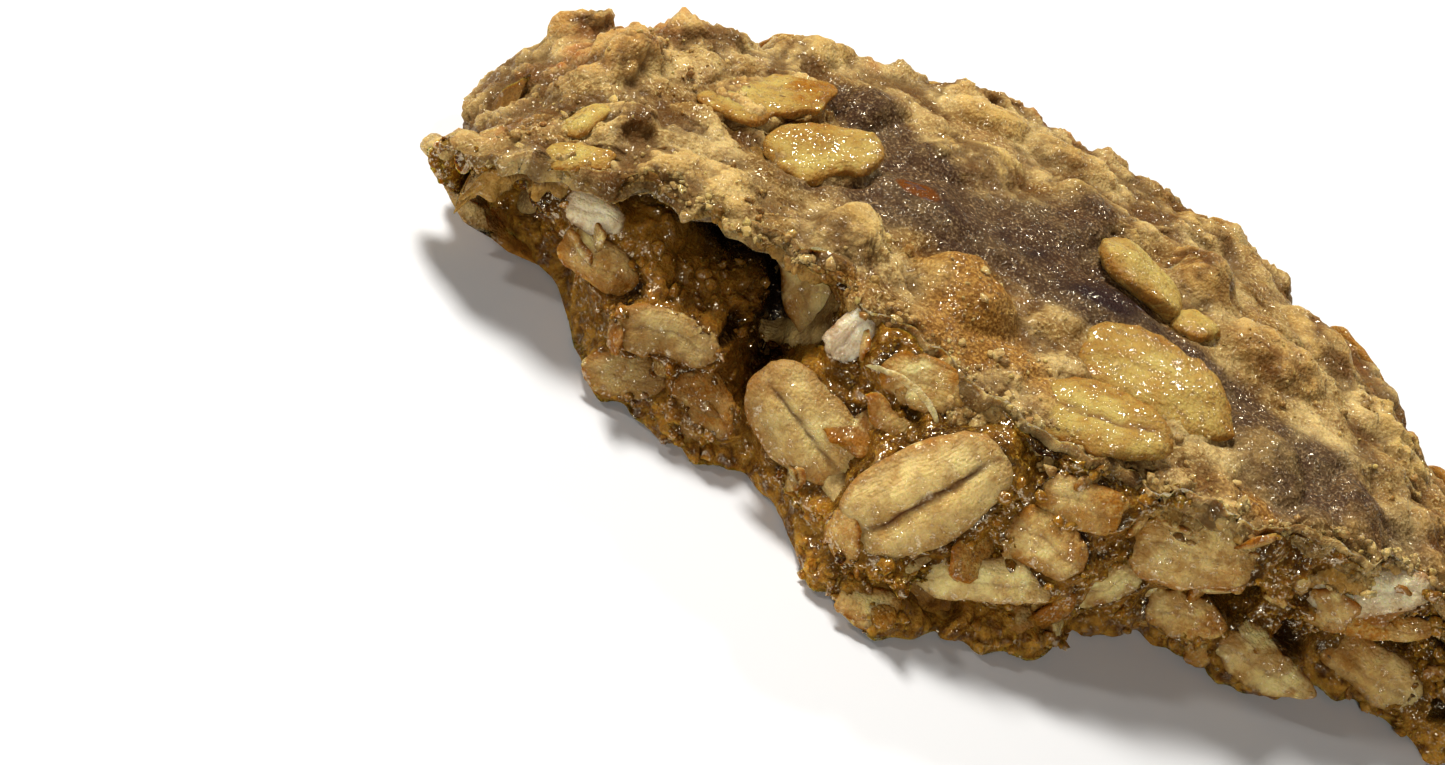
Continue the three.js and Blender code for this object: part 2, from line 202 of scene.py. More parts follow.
# %% Random numbers
def draw(seed):
    """A number from 0 to 1 that depends on its seed alone: the tail of a large sine."""
    wave = np.sin(seed * 12.9898) * 43758.5453
    return wave - np.floor(wave)


print("three random numbers:", draw(np.arange(3)).round(2))

# %% [markdown]
# ## The shape of the dough
#
# The half is a low dome with a flat underside, cut off by a ragged break. It could be sculpted
# from a disc, but then no size could be read off or changed. Here a few functions describe it:
# the heights of its top and its underside over any x and y, the path of its broken edge, the
# radius of its rim, and how far the side wall stands in or out at each height. Swellings and
# bites are bells, which fade out softly on every side.

# %% Curves and bells
def along(stations, x):
    """y at x of a curve that eases from station to station."""
    i = np.clip(np.searchsorted(stations[:, 0], x) - 1, 0, len(stations) - 2)
    low, high = stations[i], stations[i + 1]
    return low[..., 1] + (high - low)[..., 1] * ease(x, low[..., 0], high[..., 0])


def off_middle(x, y, cx, cy, long, wide, turn=0):
    """Squared distance from an oval's middle, measured in its half length and half width, so
    that it is 1 on the oval."""
    c, s = np.cos(np.radians(turn)), np.sin(np.radians(turn))
    a = ((x - cx) * c + (y - cy) * s) / long
    b = ((y - cy) * c - (x - cx) * s) / wide
    return a * a + b * b


def bells(x, y, ovals, steep=1.0):
    """Sum of oval bells: strength times e to the power of minus that distance times steep."""
    return sum(strength * np.exp(-steep * off_middle(x, y, *oval)) for *oval, strength in ovals)


print("the top edge at x = 0 lies at y =", along(TOP_EDGE, np.array(0.0)).round(2))

# %% The rim and the broken edge
def rim_radius(angle):
    """Radius at an angle from +Y: round, plus bell-shaped lobes and two fine ripples."""
    r = RADIUS + 0.45 * np.sin(23 * angle + 1) + 0.3 * np.sin(41 * angle)
    for at, spread, out in RIM_LOBES:
        r = r + out * np.exp(-(((np.degrees(angle) - at) / spread) ** 2))
    return r


def rim_point(angle):
    """The rim seen from above: radius times sine and cosine."""
    r = rim_radius(angle)
    return np.stack([r * np.sin(angle), r * np.cos(angle)], -1)


def broken_edge(x):
    """The top crust's broken edge: its stations with two fine ripples."""
    return along(TOP_EDGE, x) + 0.35 * np.sin(1.3 * x + 0.8) + 0.25 * np.sin(2.3 * x)


print("radius at the back:", rim_radius(0.0).round(1), "mm")

# %% Heights
def top_height(x, y):
    """A flat dome, one less the cube of the way out, that thins towards both ends of the
    break, plus the lumps' bells and a low ripple."""
    out = np.minimum(np.hypot(x, y) / RADIUS, 1.1)
    z = SHOULDER + (CROWN - SHOULDER) * (1 - out**3)
    z = z - LEFT_DROP * np.exp(-(((x + RADIUS) / DROP_LENGTH) ** 2))
    z = z - RIGHT_DROP * np.exp(-(((x - RADIUS) / DROP_LENGTH) ** 2))
    z = z + bells(x, y, LUMPS, steep=1.6)
    return z + 0.3 * np.sin(0.75 * x + 1.2 * np.sin(0.4 * y)) * np.sin(0.68 * y + 0.9)


def bottom_height(x, y):
    """Flat, but for one bell-shaped curl under the thin left end."""
    return np.maximum(0, bells(x, y, [CURL]) - CURL_START)


print("height at the centre:", top_height(*CENTRE).round(1), "mm")

# %% Depths of the break and of the rim
def break_depth(x, share):
    """How far the break lies behind the crust's edge at a share of the height: a straight
    run from edge to edge, plus the bites' bells and a long ripple."""
    z = share * top_height(x, along(TOP_EDGE, x))
    straight = (1 - share) * (along(BOTTOM_EDGE, x) - along(TOP_EDGE, x))
    ripple = 0.35 * np.sin(0.8 * x + 0.6 * z) * np.sin(0.7 * z + 0.5)
    return straight + bells(x, z, BITES) + ripple


def hollow(x, share):
    """How much a place lies in the cavity, 0 to 1: the bells of the two deepest bites."""
    deepest = [(*BITES[k][:4], 1) for k in CAVITY_BITES]
    return np.minimum(bells(x, WALL_HEIGHT * share, deepest), 1)


def rim_inset(share):
    """How far the rim draws in: a power of the way down to the foot, a quarter ellipse up."""
    down = np.clip((WIDEST - share) / WIDEST, 0, 1)
    up = np.clip((share - WIDEST) / (1 - WIDEST), 0, 1)
    return FOOT * down**2.2 + SHOULDER_ROUND * (1 - np.sqrt(1 - up**2))


print("the rim draws in at its foot by", rim_inset(0.0).round(1), "mm")

# %% The corners
def corner_angle(side):
    """Where the broken edge meets the rim: back and forth between the two until it settles."""
    angle = side * np.pi / 2
    for _ in range(40):
        angle = side * np.arccos(broken_edge(rim_point(angle)[0]) / rim_radius(angle))
    return angle


LEFT, RIGHT = corner_angle(-1), corner_angle(1)
LEFT_CORNER, RIGHT_CORNER = rim_point(LEFT), rim_point(RIGHT)
BREAK_LENGTH = RIGHT_CORNER[0] - LEFT_CORNER[0]
RIM_LENGTH = (RIGHT - LEFT) * RADIUS
PERIMETER = BREAK_LENGTH + RIM_LENGTH
print("break", round(BREAK_LENGTH, 1), "mm, rim", round(RIM_LENGTH, 1), "mm")

# %% [markdown]
# ## The edge and the side wall
#
# Seen from above, the half is bounded by its ragged break and its round rim. Joined end to end
# they would meet in two sharp corners, which dough doesn't have. A bevel would round them, but
# one formula can too: the break and the rim are each walked only as far as a softened length,
# and the two walks are added up. The wall then stands on that edge, from the bottom to the top.

# %% The edge and the side wall
def soft(d):
    """d where it is positive, 0 where negative, rounded over the corner's softness."""
    return CORNER * np.logaddexp(0, d / CORNER)


def edge(s):
    """The top crust's edge at s mm along it, from the left corner over the break and back
    over the rim: its points, the way inwards, how much it is rim, and the break's own x."""
    near_right = (s > BREAK_LENGTH / 2) & (s < BREAK_LENGTH + RIM_LENGTH / 2)
    past = np.where(near_right, s - BREAK_LENGTH, np.where(s > PERIMETER / 2, s - PERIMETER, s))
    on_break = np.where(near_right, -soft(-past), soft(past))
    on_rim = np.where(near_right, soft(past), -soft(-past))
    corner = np.where(near_right[..., None], RIGHT_CORNER, LEFT_CORNER)
    x = corner[..., 0] + on_break
    angle = np.where(near_right, RIGHT, LEFT) - on_rim / RADIUS
    rim = ease(np.where(near_right, past, -past), -3, 3)
    inward = np.stack([-rim * np.sin(angle), (1 - rim) - rim * np.cos(angle)], -1)
    inward /= np.linalg.norm(inward, axis=-1, keepdims=True)
    point = np.stack([x, broken_edge(x)], -1) + rim_point(angle) - corner
    return point, inward, rim, x


def wall(s, share, recess=0.0):
    """Points of the side wall: the edge, moved in by the break's depth or the rim's inset.
    recess holds the broken stretch back by that much."""
    point, inward, rim, x = edge(s)
    into = (1 - rim) * (break_depth(x, share) + recess) + rim * rim_inset(share)
    xy = point + into[..., None] * inward
    x, y = xy[..., 0], xy[..., 1]
    low, high = bottom_height(x, y), top_height(x, y)
    return np.stack([x, y, low + (high - low) * share], -1)


foot, lip = wall(np.array([BREAK_LENGTH / 2] * 2), np.array([0.0, 1.0]))
print("middle of the break, foot and lip (mm):", foot.round(1), lip.round(1))

# %% [markdown]
# ## Where the oats and raisins lie
#
# Rolled oats stick out of the top and the break at all angles, and three raisins lie in the
# dough. They could be scattered by a particle system, but a viewer knows the large ones by
# their places, so those are given one by one in short lists. A flake can lie bare on the top or
# under a film of dough that shows its shape, so each one says how much higher the film lies
# than the flake.

# %% Oats of the top
# a usual flake: thickness per width, length, width per length, and the room it takes up
OAT_THICK = 0.16
OAT_LENGTH = 9.2
OAT_SLIM = 0.66
OAT_SPACING = 8.6

# on the top: x, y, length, width, turn in degrees, proud, film over it, toasting
TOP_OATS = [
    (-28.6, 31, 12.5, 6, 45, 1.4, 0.1, 0.3), (-38.4, 28.6, 7.4, 5.4, 68, 2.4, 0.0, 0.8),
    (-34, 21, 9.6, 6, 60, 2.8, 0.0, 1.0), (-22, 23.2, 12.6, 6.6, 46, 0.7, -0.3, 0.6),
    (-17, 17.4, 9.8, 6.2, 37, 1.2, -1.2, 0.35), (-26.3, 7.2, 11.6, 7.4, 10, 1.0, 0.1, 0.3),
    (-31.7, 12, 6, 4.4, 61, 1.8, 0.15, 0.3), (-34.8, 11.4, 4.4, 2.6, 63, 0.9, -0.4, 0.1),
    (-34.2, 6.4, 5.4, 3, 22, 0.5, -0.4, 0.2), (-5, 40.4, 10, 4.6, 30, 0.7, 0.0, 0.5),
    (-3.8, 36, 7, 6, 0, 0.5, -0.1, 0.6), (-5.4, 26.4, 12.2, 6, 30, 0.6, -0.15, 0.2),
    (4, 35.4, 8.4, 5, -8, 0.5, -0.1, 0.3), (9.9, 19.7, 8.2, 6.8, -19, 2.0, -1.3, 0.1),
    (15.7, 24.7, 7.4, 6.6, -44, 2.2, 0.1, 1.0), (15.2, 17.4, 4.6, 3.8, 40, 1.4, -1.2, 0.2),
    (12.2, 8, 13, 8.8, -12, 0.7, -0.5, 0.2), (7.4, 0.2, 11, 7, -5, 0.9, -0.8, 0.35),
    (22.6, 19, 9.6, 7.4, 5, 1.2, 0.12, 0.7), (-3.8, 7.9, 9, 7.8, -19, 1.0, 0.2, 0.5),
    (-13.6, 7.8, 6.8, 6, -15, 1.6, 0.05, 0.3), (17.2, 35.6, 8.4, 5.4, 12, 0.5, -0.1, 0.5),
    (28, 27, 9, 6, -50, 1.2, 0.0, 0.5), (35.6, 20, 8.4, 5.6, -66, 0.5, -0.1, 0.3),
]

# the flake of the top whose crease shows
RIDGED = 17
print(len(TOP_OATS), "oats on the top by hand")

# %% Oats and lumps of the break
# in the break: x, z, length, width, turn in the broken face, proud, toasting (below 0: white)
FACE_OATS = [
    (-31.4, 10.4, 4.8, 3.0, 5, 1.6, -0.8), (-29.4, 7.6, 7, 3.6, -14, 0.7, 0.5),
    (-23, 7.4, 8, 3.6, 9, 1.2, 0.3), (-11.2, 7.2, 10.6, 6.6, -22, 1.1, 0.2),
    (-11.1, 13.6, 4.8, 3.0, 78, 1.8, -1.0), (-14.6, 11, 8, 4, -60, 0.8, 0.8),
    (-1.8, 9.8, 12.8, 7.4, 54, 1.5, 0.1), (-4.4, 14.4, 8.6, 3.6, 6, 0.5, 0.7),
    (7.6, 10, 6.6, 4.6, -12, 0.8, 0.5), (8.6, 13.4, 7.6, 3.8, 9, 0.7, 0.5),
    (18.4, 11.8, 10.6, 6, 22, 0.8, 0.4), (5, 5.8, 10, 3.4, 14, 1.2, 0.0),
    (14.4, 5.8, 6.6, 3.2, 50, 0.8, 0.2), (21.6, 4.6, 6.4, 3.4, 8, 0.5, 0.6),
    (29.4, 2.9, 8.8, 4, -7, 0.7, 0.1), (33.4, 11.0, 10.6, 3.6, 26, 1.5, -0.7),
    (36.2, 8.2, 9, 2.6, 20, 0.6, 0.7), (39, 3.2, 8.6, 4.4, -12, 0.9, 0.3),
    (-24.4, 2.6, 6.4, 3.6, 12, 0.5, 0.9), (-18.2, 4.4, 6, 3.6, -28, 0.6, 0.9),
]

# crumbly lumps of dough standing out of the break: x, z, half width, half height, out
FACE_LUMPS = [
    (-4.6, 3.8, 2.4, 2.0, 1.4), (-9.5, 4.4, 2.0, 1.8, 1.0), (8.5, 1.6, 3.2, 1.4, 1.0),
    (-3.5, 1.2, 4.5, 1.2, 0.8), (-22, 7.8, 4.5, 2.0, 0.8), (-26, 10.5, 2.4, 1.6, 0.8),
    (2.4, 12.6, 1.6, 1.2, 0.9), (-20, 2.6, 4.5, 2.0, 0.6), (13, 8.4, 2.0, 1.6, 0.7),
    (26, 10.8, 3.0, 1.6, 0.8), (24, 2.2, 2.6, 1.4, 0.7), (34, 6.0, 3.0, 1.2, 0.6),
]

# the flakes of the break whose crease faces out, and how much
GROOVED = {3: 0.7, 6: 1.0}
print(len(FACE_OATS), "oats and", len(FACE_LUMPS), "lumps in the break")

# %% Raisins
# node, x, y, z of the middle, length, width, height, turn, film over it
RAISINS = [
    ("raisin_front", -8, 16, 14.6, 11.5, 8, 5.6, -7, 0.35),
    ("raisin_middle", 8, 14, 14.6, 13, 8, 5.6, -17, 0.35),
    ("raisin_rim", 10, 42.8, 7.2, 12, 6.4, 7.2, -13, -2.0),
]

# where the film is torn off a raisin: x, y, length, width, turn in degrees
WINDOW = (-9.6, 16.8, 4.0, 2.6, -10)
WINDOW_DEPTH = 0.2
print("raisins:", [name for name, *_ in RAISINS])

# %% [markdown]
# ## Oats by rule
#
# The rest of the top is as full of flakes as its front, only nobody looks for one of them.
# Random places would leave gaps and heaps, as random places do. Sunflower order spreads spots
# evenly over a disc without rows, and each is kept only where nothing lies yet.

# %% Oats by rule
GOLDEN_ANGLE = 2.39996
# how far the spots stay clear of the rim and of the break
EDGE_MARGIN = 3.5


def free_spots():
    """Sunflower spots: the radius grows with the square root, each a golden angle on. A spot
    is kept where it lies inside the half and clear of everything placed before it."""
    taken = [o[:2] for o in TOP_OATS] + [r[1:3] for r in RAISINS]
    count = round(np.pi * RADIUS**2 / (0.62 * OAT_SPACING**2))
    spots = []
    for i in range(count):
        r = (RADIUS - EDGE_MARGIN) * np.sqrt((i + 0.5) / count)
        x, y = r * np.cos(i * GOLDEN_ANGLE), r * np.sin(i * GOLDEN_ANGLE)
        clear = all(np.hypot(a - x, b - y) > 0.9 * OAT_SPACING for a, b in taken)
        if clear and y > broken_edge(x) + EDGE_MARGIN:
            spots.append((x, y, i))
            taken.append((x, y))
    return spots


for x, y, seed in free_spots():
    length = OAT_LENGTH * (0.8 + 0.4 * draw(seed))
    proud = 0.2 + 0.5 * draw(seed + 0.3)
    inner = (np.hypot(x, y) < RADIUS - 9) & (y > broken_edge(x) + 8)
    film = 0.2 - 0.47 * draw(seed + 0.1) * inner
    TOP_OATS.append((
        x, y, length, OAT_SLIM * length, 180 * draw(seed + 0.7), proud, film, draw(seed + 0.2),
    ))
print(len(TOP_OATS), "oats on the top in all")

# %% [markdown]
# ## The film of dough over the top
#
# Dough runs over the flakes and raisins in the oven. Metaballs or a remesh could melt them
# together, but they lose fine detail. As a height, the top is simply the higher of two: its own,
# and that of the film over whatever lies there, and a soft maximum rounds the step. The film
# climbs over a flake's edge and thins towards its middle, so a flake that lies high enough
# shows bare. Warping the places by noise first makes every outline uneven.

# %% Ovals under the film
FILM_SOFTNESS = 0.2
# how far the film climbs over a flake's edge, and how deep the flake's middle is sunk
CLIMB = 0.45
SUNK = 0.3
# below this film a flake is a bare form of its own, above it a swelling of the dough
BARE = -0.2


def over_shape(x, y, cx, cy, length, width, turn):
    """How far inside an oval a point lies: 1 in the middle, 0 on its edge, below 0 outside."""
    return 1 - off_middle(x, y, cx, cy, length / 2, width / 2, turn)


def lay_over(z, height, inside):
    """Soft maximum of two heights, faded in over the outline of what lies there."""
    raised = FILM_SOFTNESS * np.logaddexp(0, (height - z) / FILM_SOFTNESS)
    return z + raised * ease(inside, -0.15, 0.15)


def flake_thickness(width, proud):
    """Thicker the wider it is, and the more it stands proud."""
    return OAT_THICK * width + 0.6 * proud


print("a flake 6 mm wide is", round(flake_thickness(6, 1), 1), "mm thick")

# %% Height of the film
def film_height(x, y):
    """The top's height with the film on it, how much pale flake shows, how toasted it is,
    and how near the outline of a flake lies."""
    place = np.stack([x, y, 0 * x], -1)
    wx, wy = x + 0.6 * rough(place, 3.4, 3, 5), y + 0.6 * rough(place, 3.4, 3, 6)
    uneven = 0.3 * rough(place, 2.6, 3, 7)
    ground = top_height(x, y)
    z, pale, toasted, outlined = ground.copy(), 0.0 * x, 0.0 * x, 0.0 * x
    for k, (cx, cy, length, width, turn, proud, film, toast) in enumerate(TOP_OATS):
        inside = over_shape(wx, wy, cx, cy, length, width, turn)
        moat = np.exp(-(((inside + 0.15) / 0.25) ** 2))
        clear = 1.0 if film <= BARE else 0.4
        z = z - clear * (0.2 + 0.3 * draw(k + 0.6)) * moat
        outlined = np.maximum(outlined, clear * moat)
        thick = flake_thickness(width, proud)
        climb = CLIMB * np.exp(-np.clip(inside, 0, 1) / 0.22)
        lens = thick / 2 * np.sqrt(np.clip(inside, 0, 1))
        bare = ground + 0.4 * proud - SUNK + lens + film + climb
        covered = ground + (0.5 * thick + 0.3) * ease(inside, -0.25, 0.95)
        z = lay_over(z, uneven + (covered if film > BARE else bare), inside)
        shows = ease(inside, -0.05, 0.3)
        pale = np.maximum(pale, shows * (0.5 + 0.5 * draw(k + 0.5)))
        toasted = np.maximum(toasted, shows * toast)
    for _, cx, cy, cz, length, width, height, turn, film in RAISINS:
        inside = over_shape(wx, wy, cx, cy, length, width, turn)
        skin = cz + height / 2 * np.sqrt(np.clip(inside, 0, 1)) + film + 0.5 * uneven
        z = lay_over(z, skin, inside)
    z = z - WINDOW_DEPTH * ease(over_shape(wx, wy, *WINDOW), -0.3, 0.5)
    return z, pale, toasted, outlined


over_raisin = film_height(*np.array(RAISINS[0][1:3])[:, None])[0]
print("film over the middle of the first raisin:", over_raisin.round(1), "mm high")

# %% [markdown]
# ## From arrays to pieces
#
# Every piece is a tube: rings of points, closed by one point at either end. Blender could skin
# or loft them, but faces are only lists of numbers, and for rings they follow a rule. These
# helpers close a tube, list its faces, repeat a shape, work out which way is outwards at each
# point, and turn arrays into an object that rides with the cookie.

# %% Rings and their faces
def band_faces(rows, around):
    """Faces of rings of points closed by a first and a last point: quads and end triangles."""
    i = np.arange(around)
    j = (i + 1) % around
    start = 1 + np.arange(rows - 1)[:, None] * around
    quads = np.stack([start + i, start + j, start + around + j, start + around + i], -1)
    last = 1 + rows * around
    first_fan = np.stack([0 * i, 1 + j, 1 + i], -1)
    last_fan = np.stack([last - around + i, last - around + j, 0 * i + last], -1)
    return quads.reshape(-1, 4), np.concatenate([first_fan, last_fan])


def closed(rings):
    """All points of a tube, with the middles of its first and last ring at either end."""
    return np.concatenate([[rings[0].mean(0)], rings.reshape(-1, 3), [rings[-1].mean(0)]])


def repeated(blocks, copies, size):
    """Faces of a shape of that many points, listed again for each copy, numbered onwards."""
    offsets = (np.arange(copies) * size)[:, None, None]
    return [(block[None] + offsets).reshape(-1, block.shape[1]) for block in blocks]


print("a tube of 4 rings of 6 points:", sum(map(len, band_faces(4, 6))), "faces")

# %% Balls and the way outwards
def ball_steps(steps, around):
    """Steps along a ball's axis, as cosines of half a turn, and round it, as angles."""
    t = np.cos(np.pi * (np.arange(steps) + 0.5) / steps)[:, None]
    return t, 2 * np.pi * np.arange(around) / around


def unit_ball(steps, around):
    """Rings of points on a ball of radius 1, from pole to pole."""
    t, v = ball_steps(steps, around)
    ring = np.sqrt(1 - t * t)
    return np.stack(np.broadcast_arrays(t, ring * np.cos(v), ring * np.sin(v)), -1)


def outward(points, quads, poles=None):
    """The way outwards at each point: the crossed diagonals of its quads, added up. The two
    end points have no quads, and stay at zero unless their ways are given."""
    a, b, c, d = (points[quads[:, k]] for k in range(4))
    crossed = np.cross(c - a, d - b)
    total = np.zeros_like(points)
    for k in range(4):
        for axis in range(3):
            total[:, axis] += np.bincount(quads[:, k], crossed[:, axis], len(points))
    total /= np.maximum(np.linalg.norm(total, axis=1, keepdims=True), 1e-9)
    if poles:
        total[0], total[-1] = poles
    return total


print("a ball of 4 rings of 6 points:", len(closed(unit_ball(4, 6))), "points")

# %% A piece from arrays
# nothing reaches higher than this, and how gradually heights close to it are held back
HIGHEST = 18.9
HEIGHT_SOFTNESS = 0.15
# the broken side and the flakes end a little above the surface that the cookie lies on
FLOOR_GAP = 0.05


def make_piece(name, points, faces, finish, marks=None, uv=None):
    """An object from arrays: points in mm, lists of faces, and a value per point for each
    mark. Heights are softly held below the highest. It rides on the cookie's body."""
    room = (HIGHEST - points[:, 2]) / HEIGHT_SOFTNESS
    points[:, 2] = np.maximum(HIGHEST - HEIGHT_SOFTNESS * np.logaddexp(0, room), 0)
    mesh = bpy.data.meshes.new(name)
    mesh.from_pydata((points * MM).tolist(), [], [f for block in faces for f in block.tolist()])
    mesh.polygons.foreach_set("use_smooth", np.ones(len(mesh.polygons), bool))
    for mark, values in (marks or {}).items():
        layer = mesh.attributes.new(mark, "FLOAT", "POINT")
        layer.data.foreach_set("value", np.asarray(values, np.float32).ravel())
    if uv is not None:
        corners = np.empty(len(mesh.loops), np.int32)
        mesh.loops.foreach_get("vertex_index", corners)
        layer = mesh.uv_layers.new(name="UVMap")
        layer.data.foreach_set("uv", uv[corners].astype(np.float32).ravel())
    mesh.materials.append(finish)
    mesh.update()
    obj = bpy.data.objects.new(name, mesh)
    bpy.context.scene.collection.objects.link(obj)
    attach(obj, "root")
    count = sum(len(f) * (f.shape[1] - 2) for f in faces)
    low, high = points[:, 2].min(), points[:, 2].max()
    print(f"{name}: {count} triangles, from {low:.2f} to {high:.2f} mm high")
    return obj


print("heights end softly at", HIGHEST, "mm")

# %% [markdown]
# ## Finishes as expressions
#
# Food is never one colour, so each finish here is a base and many thin coats, each with a mask
# of its own. Such trees can be drawn in the shader editor, but they are easier to read as sums.
# A Wire wraps one socket, so that an expression such as `1 - mask` adds its Math node. Colours
# go through Mix nodes, because a Math node would turn them grey.

# %% Colours and wires
def colour(red, green, blue):
    """A screen colour of 0 to 255 as the linear colour that a shader wants."""
    c = np.array([red, green, blue]) / 255
    linear = np.where(c <= 0.04045, c / 12.92, ((c + 0.055) / 1.055) ** 2.4)
    return (*linear.tolist(), 1.0)


class Wire:
    """A socket that takes part in sums; an expression on wires adds its Math nodes."""

    def __init__(self, finish, socket):
        self.finish, self.socket = finish, socket

    def math(self, operation, first, second):
        """A Math node of that operation on two values or wires."""
        return self.finish.add("Math", {"operation": operation}, {0: first, 1: second})

    def __add__(self, other):
        return self.math("ADD", self, other)

    __radd__ = __add__

    def __mul__(self, other):
        return self.math("MULTIPLY", self, other)

    __rmul__ = __mul__

    def __sub__(self, other):
        return self.math("SUBTRACT", self, other)

    def __rsub__(self, other):
        return self.math("SUBTRACT", other, self)

    def between(self, low, high):
        """Smooth step: 0 below low, 1 above high."""
        settings = {"interpolation_type": "SMOOTHSTEP"}
        return self.finish.add("MapRange", settings, {"Value": self, 1: low, 2: high})


print("a middle grey of the screen is", round(colour(128, 128, 128)[0], 3), "in linear light")

# %% [markdown]
# ## One class for every finish
#
# A finish needs the same few nodes again and again: textures, colours mixed by masks, relief
# and the shader at the end. Node groups would hold them, but each would have to be built first.
# Here one method makes any node from its kind, its settings and its values.
#
# Baked sugar and syrup glint in small spots. A lower roughness in spots would do, but it stays
# dull on rough dough, so a second, sharp gloss lies over the first where a noise is high. Its
# strength follows Fresnel's law, up to a limit that keeps the dough's own colour.

# %% Finishes
NOISE_ROUGHNESS = 0.55
# the size of a glinting spot in mm, and how soft its edge is
FACET = 0.3
FACET_EDGE = 0.07
# the sharp gloss: its roughness, the most that it takes up, and its colour
GLINT_ROUGHNESS = 0.13
GLINT_MOST = 0.3
GLINT_TINT = (1, 0.88, 0.64, 1)
# how much light bends in the dough, and how little gloss the nearly dull shader has
DOUGH_IOR = 1.45
DULL = 0.05


class Finish:
    """A material's nodes, ending in a Principled BSDF that may carry a sharp gloss."""

    def __init__(self, name):
        self.material = bpy.data.materials.new(name)
        self.material.use_nodes = True
        self.tree = self.material.node_tree
        self.tree.nodes.clear()
        self.place = self.add("TexCoord", out="Object")

    def add(self, kind, settings=None, values=None, out=0):
        """Any node: its settings first, then a value or a link for each named socket."""
        node = self.tree.nodes.new("ShaderNode" + kind)
        for key, value in (settings or {}).items():
            setattr(node, key, value)
        for key, value in (values or {}).items():
            if isinstance(value, Wire):
                self.tree.links.new(value.socket, node.inputs[key])
            else:
                node.inputs[key].default_value = value
        return Wire(self, node.outputs[out])

    def mark(self, name):
        """The value that a mesh carries at each point under that name."""
        return self.add("Attribute", {"attribute_name": name}, out="Fac")

    def noise(self, size, detail=3.0):
        """Noise texture whose features are about that many mm across."""
        values = {"Scale": 1 / (size * MM), "Detail": detail, "Roughness": NOISE_ROUGHNESS}
        return self.add("TexNoise", None, {"Vector": self.place, **values})

    def cells(self, size):
        """Distance to the nearest of random points about that many mm apart, in cells."""
        values = {"Vector": self.place, "Scale": 1 / (size * MM)}
        return self.add("TexVoronoi", None, values, out="Distance")

    def blend(self, mask, first, second, how="MIX"):
        """The first colour where the mask is 0, the second where it is 1."""
        settings = {"data_type": "RGBA", "blend_type": how}
        return self.add("Mix", settings, {0: mask, 6: first, 7: second}, out=2)

    def paint(self, base, *coats):
        """Coats of colour over a base, each as strong as its mask. A colour is a wire, or a
        screen colour of three numbers from 0 to 255."""
        for mask, coat in coats:
            both = [c if isinstance(c, Wire) else colour(*c) for c in (base, coat)]
            base = self.blend(mask, *both)
        return base

    def facets(self, fewest, size=FACET):
        """Scattered spots that many mm across, the more the lower the threshold."""
        return self.noise(size, 1).between(fewest, fewest + FACET_EDGE)

    def bump(self, height, depth, strength=1.0):
        """A normal tilted by a height map; depth is its full height in mm."""
        values = {"Height": height, "Strength": strength, "Distance": depth * MM}
        return self.add("Bump", None, values)

    def shade(self, **sockets):
        """The Principled BSDF, its sockets named with underscores, as the whole surface."""
        values = {key.replace("_", " "): value for key, value in sockets.items()}
        return self.output(self.add("BsdfPrincipled", None, values))

    def glinting(self, glint, glint_normal, **sockets):
        """A nearly dull Principled BSDF under a sharp gloss, which is as strong as the glint
        mask times what Fresnel's law reflects, up to a limit."""
        sockets.update(IOR=DOUGH_IOR, Specular_IOR_Level=DULL)
        values = {key.replace("_", " "): value for key, value in sockets.items()}
        dull = self.add("BsdfPrincipled", None, values)
        gloss = {"Color": GLINT_TINT, "Roughness": GLINT_ROUGHNESS, "Normal": glint_normal}
        sharp = self.add("BsdfAnisotropic", None, gloss)
        strength = glint * self.add("Fresnel", None, {"IOR": DOUGH_IOR})
        mask = self.add("Math", {"operation": "MINIMUM"}, {0: strength, 1: GLINT_MOST})
        return self.output(self.add("MixShader", None, {0: mask, 1: dull, 2: sharp}))

    def output(self, surface):
        """Ends the tree with that surface and gives the material."""
        node = self.tree.nodes.new("ShaderNodeOutputMaterial")
        self.tree.links.new(surface.socket, node.inputs["Surface"])
        return self.material


print("glints reflect at most", GLINT_MOST, "of the light")

# %% [markdown]
# ## Baked crust
#
# The crust is tan where the film is thick, golden where it is thin over a flake, orange-brown
# where it toasted, and purple-grey where a raisin stained it. Colours could be painted on the
# mesh by hand. Here the mesh carries these places as marks, so they follow the shape, and fine
# noise breaks up their edges. The coats are listed in the order in which they lie.

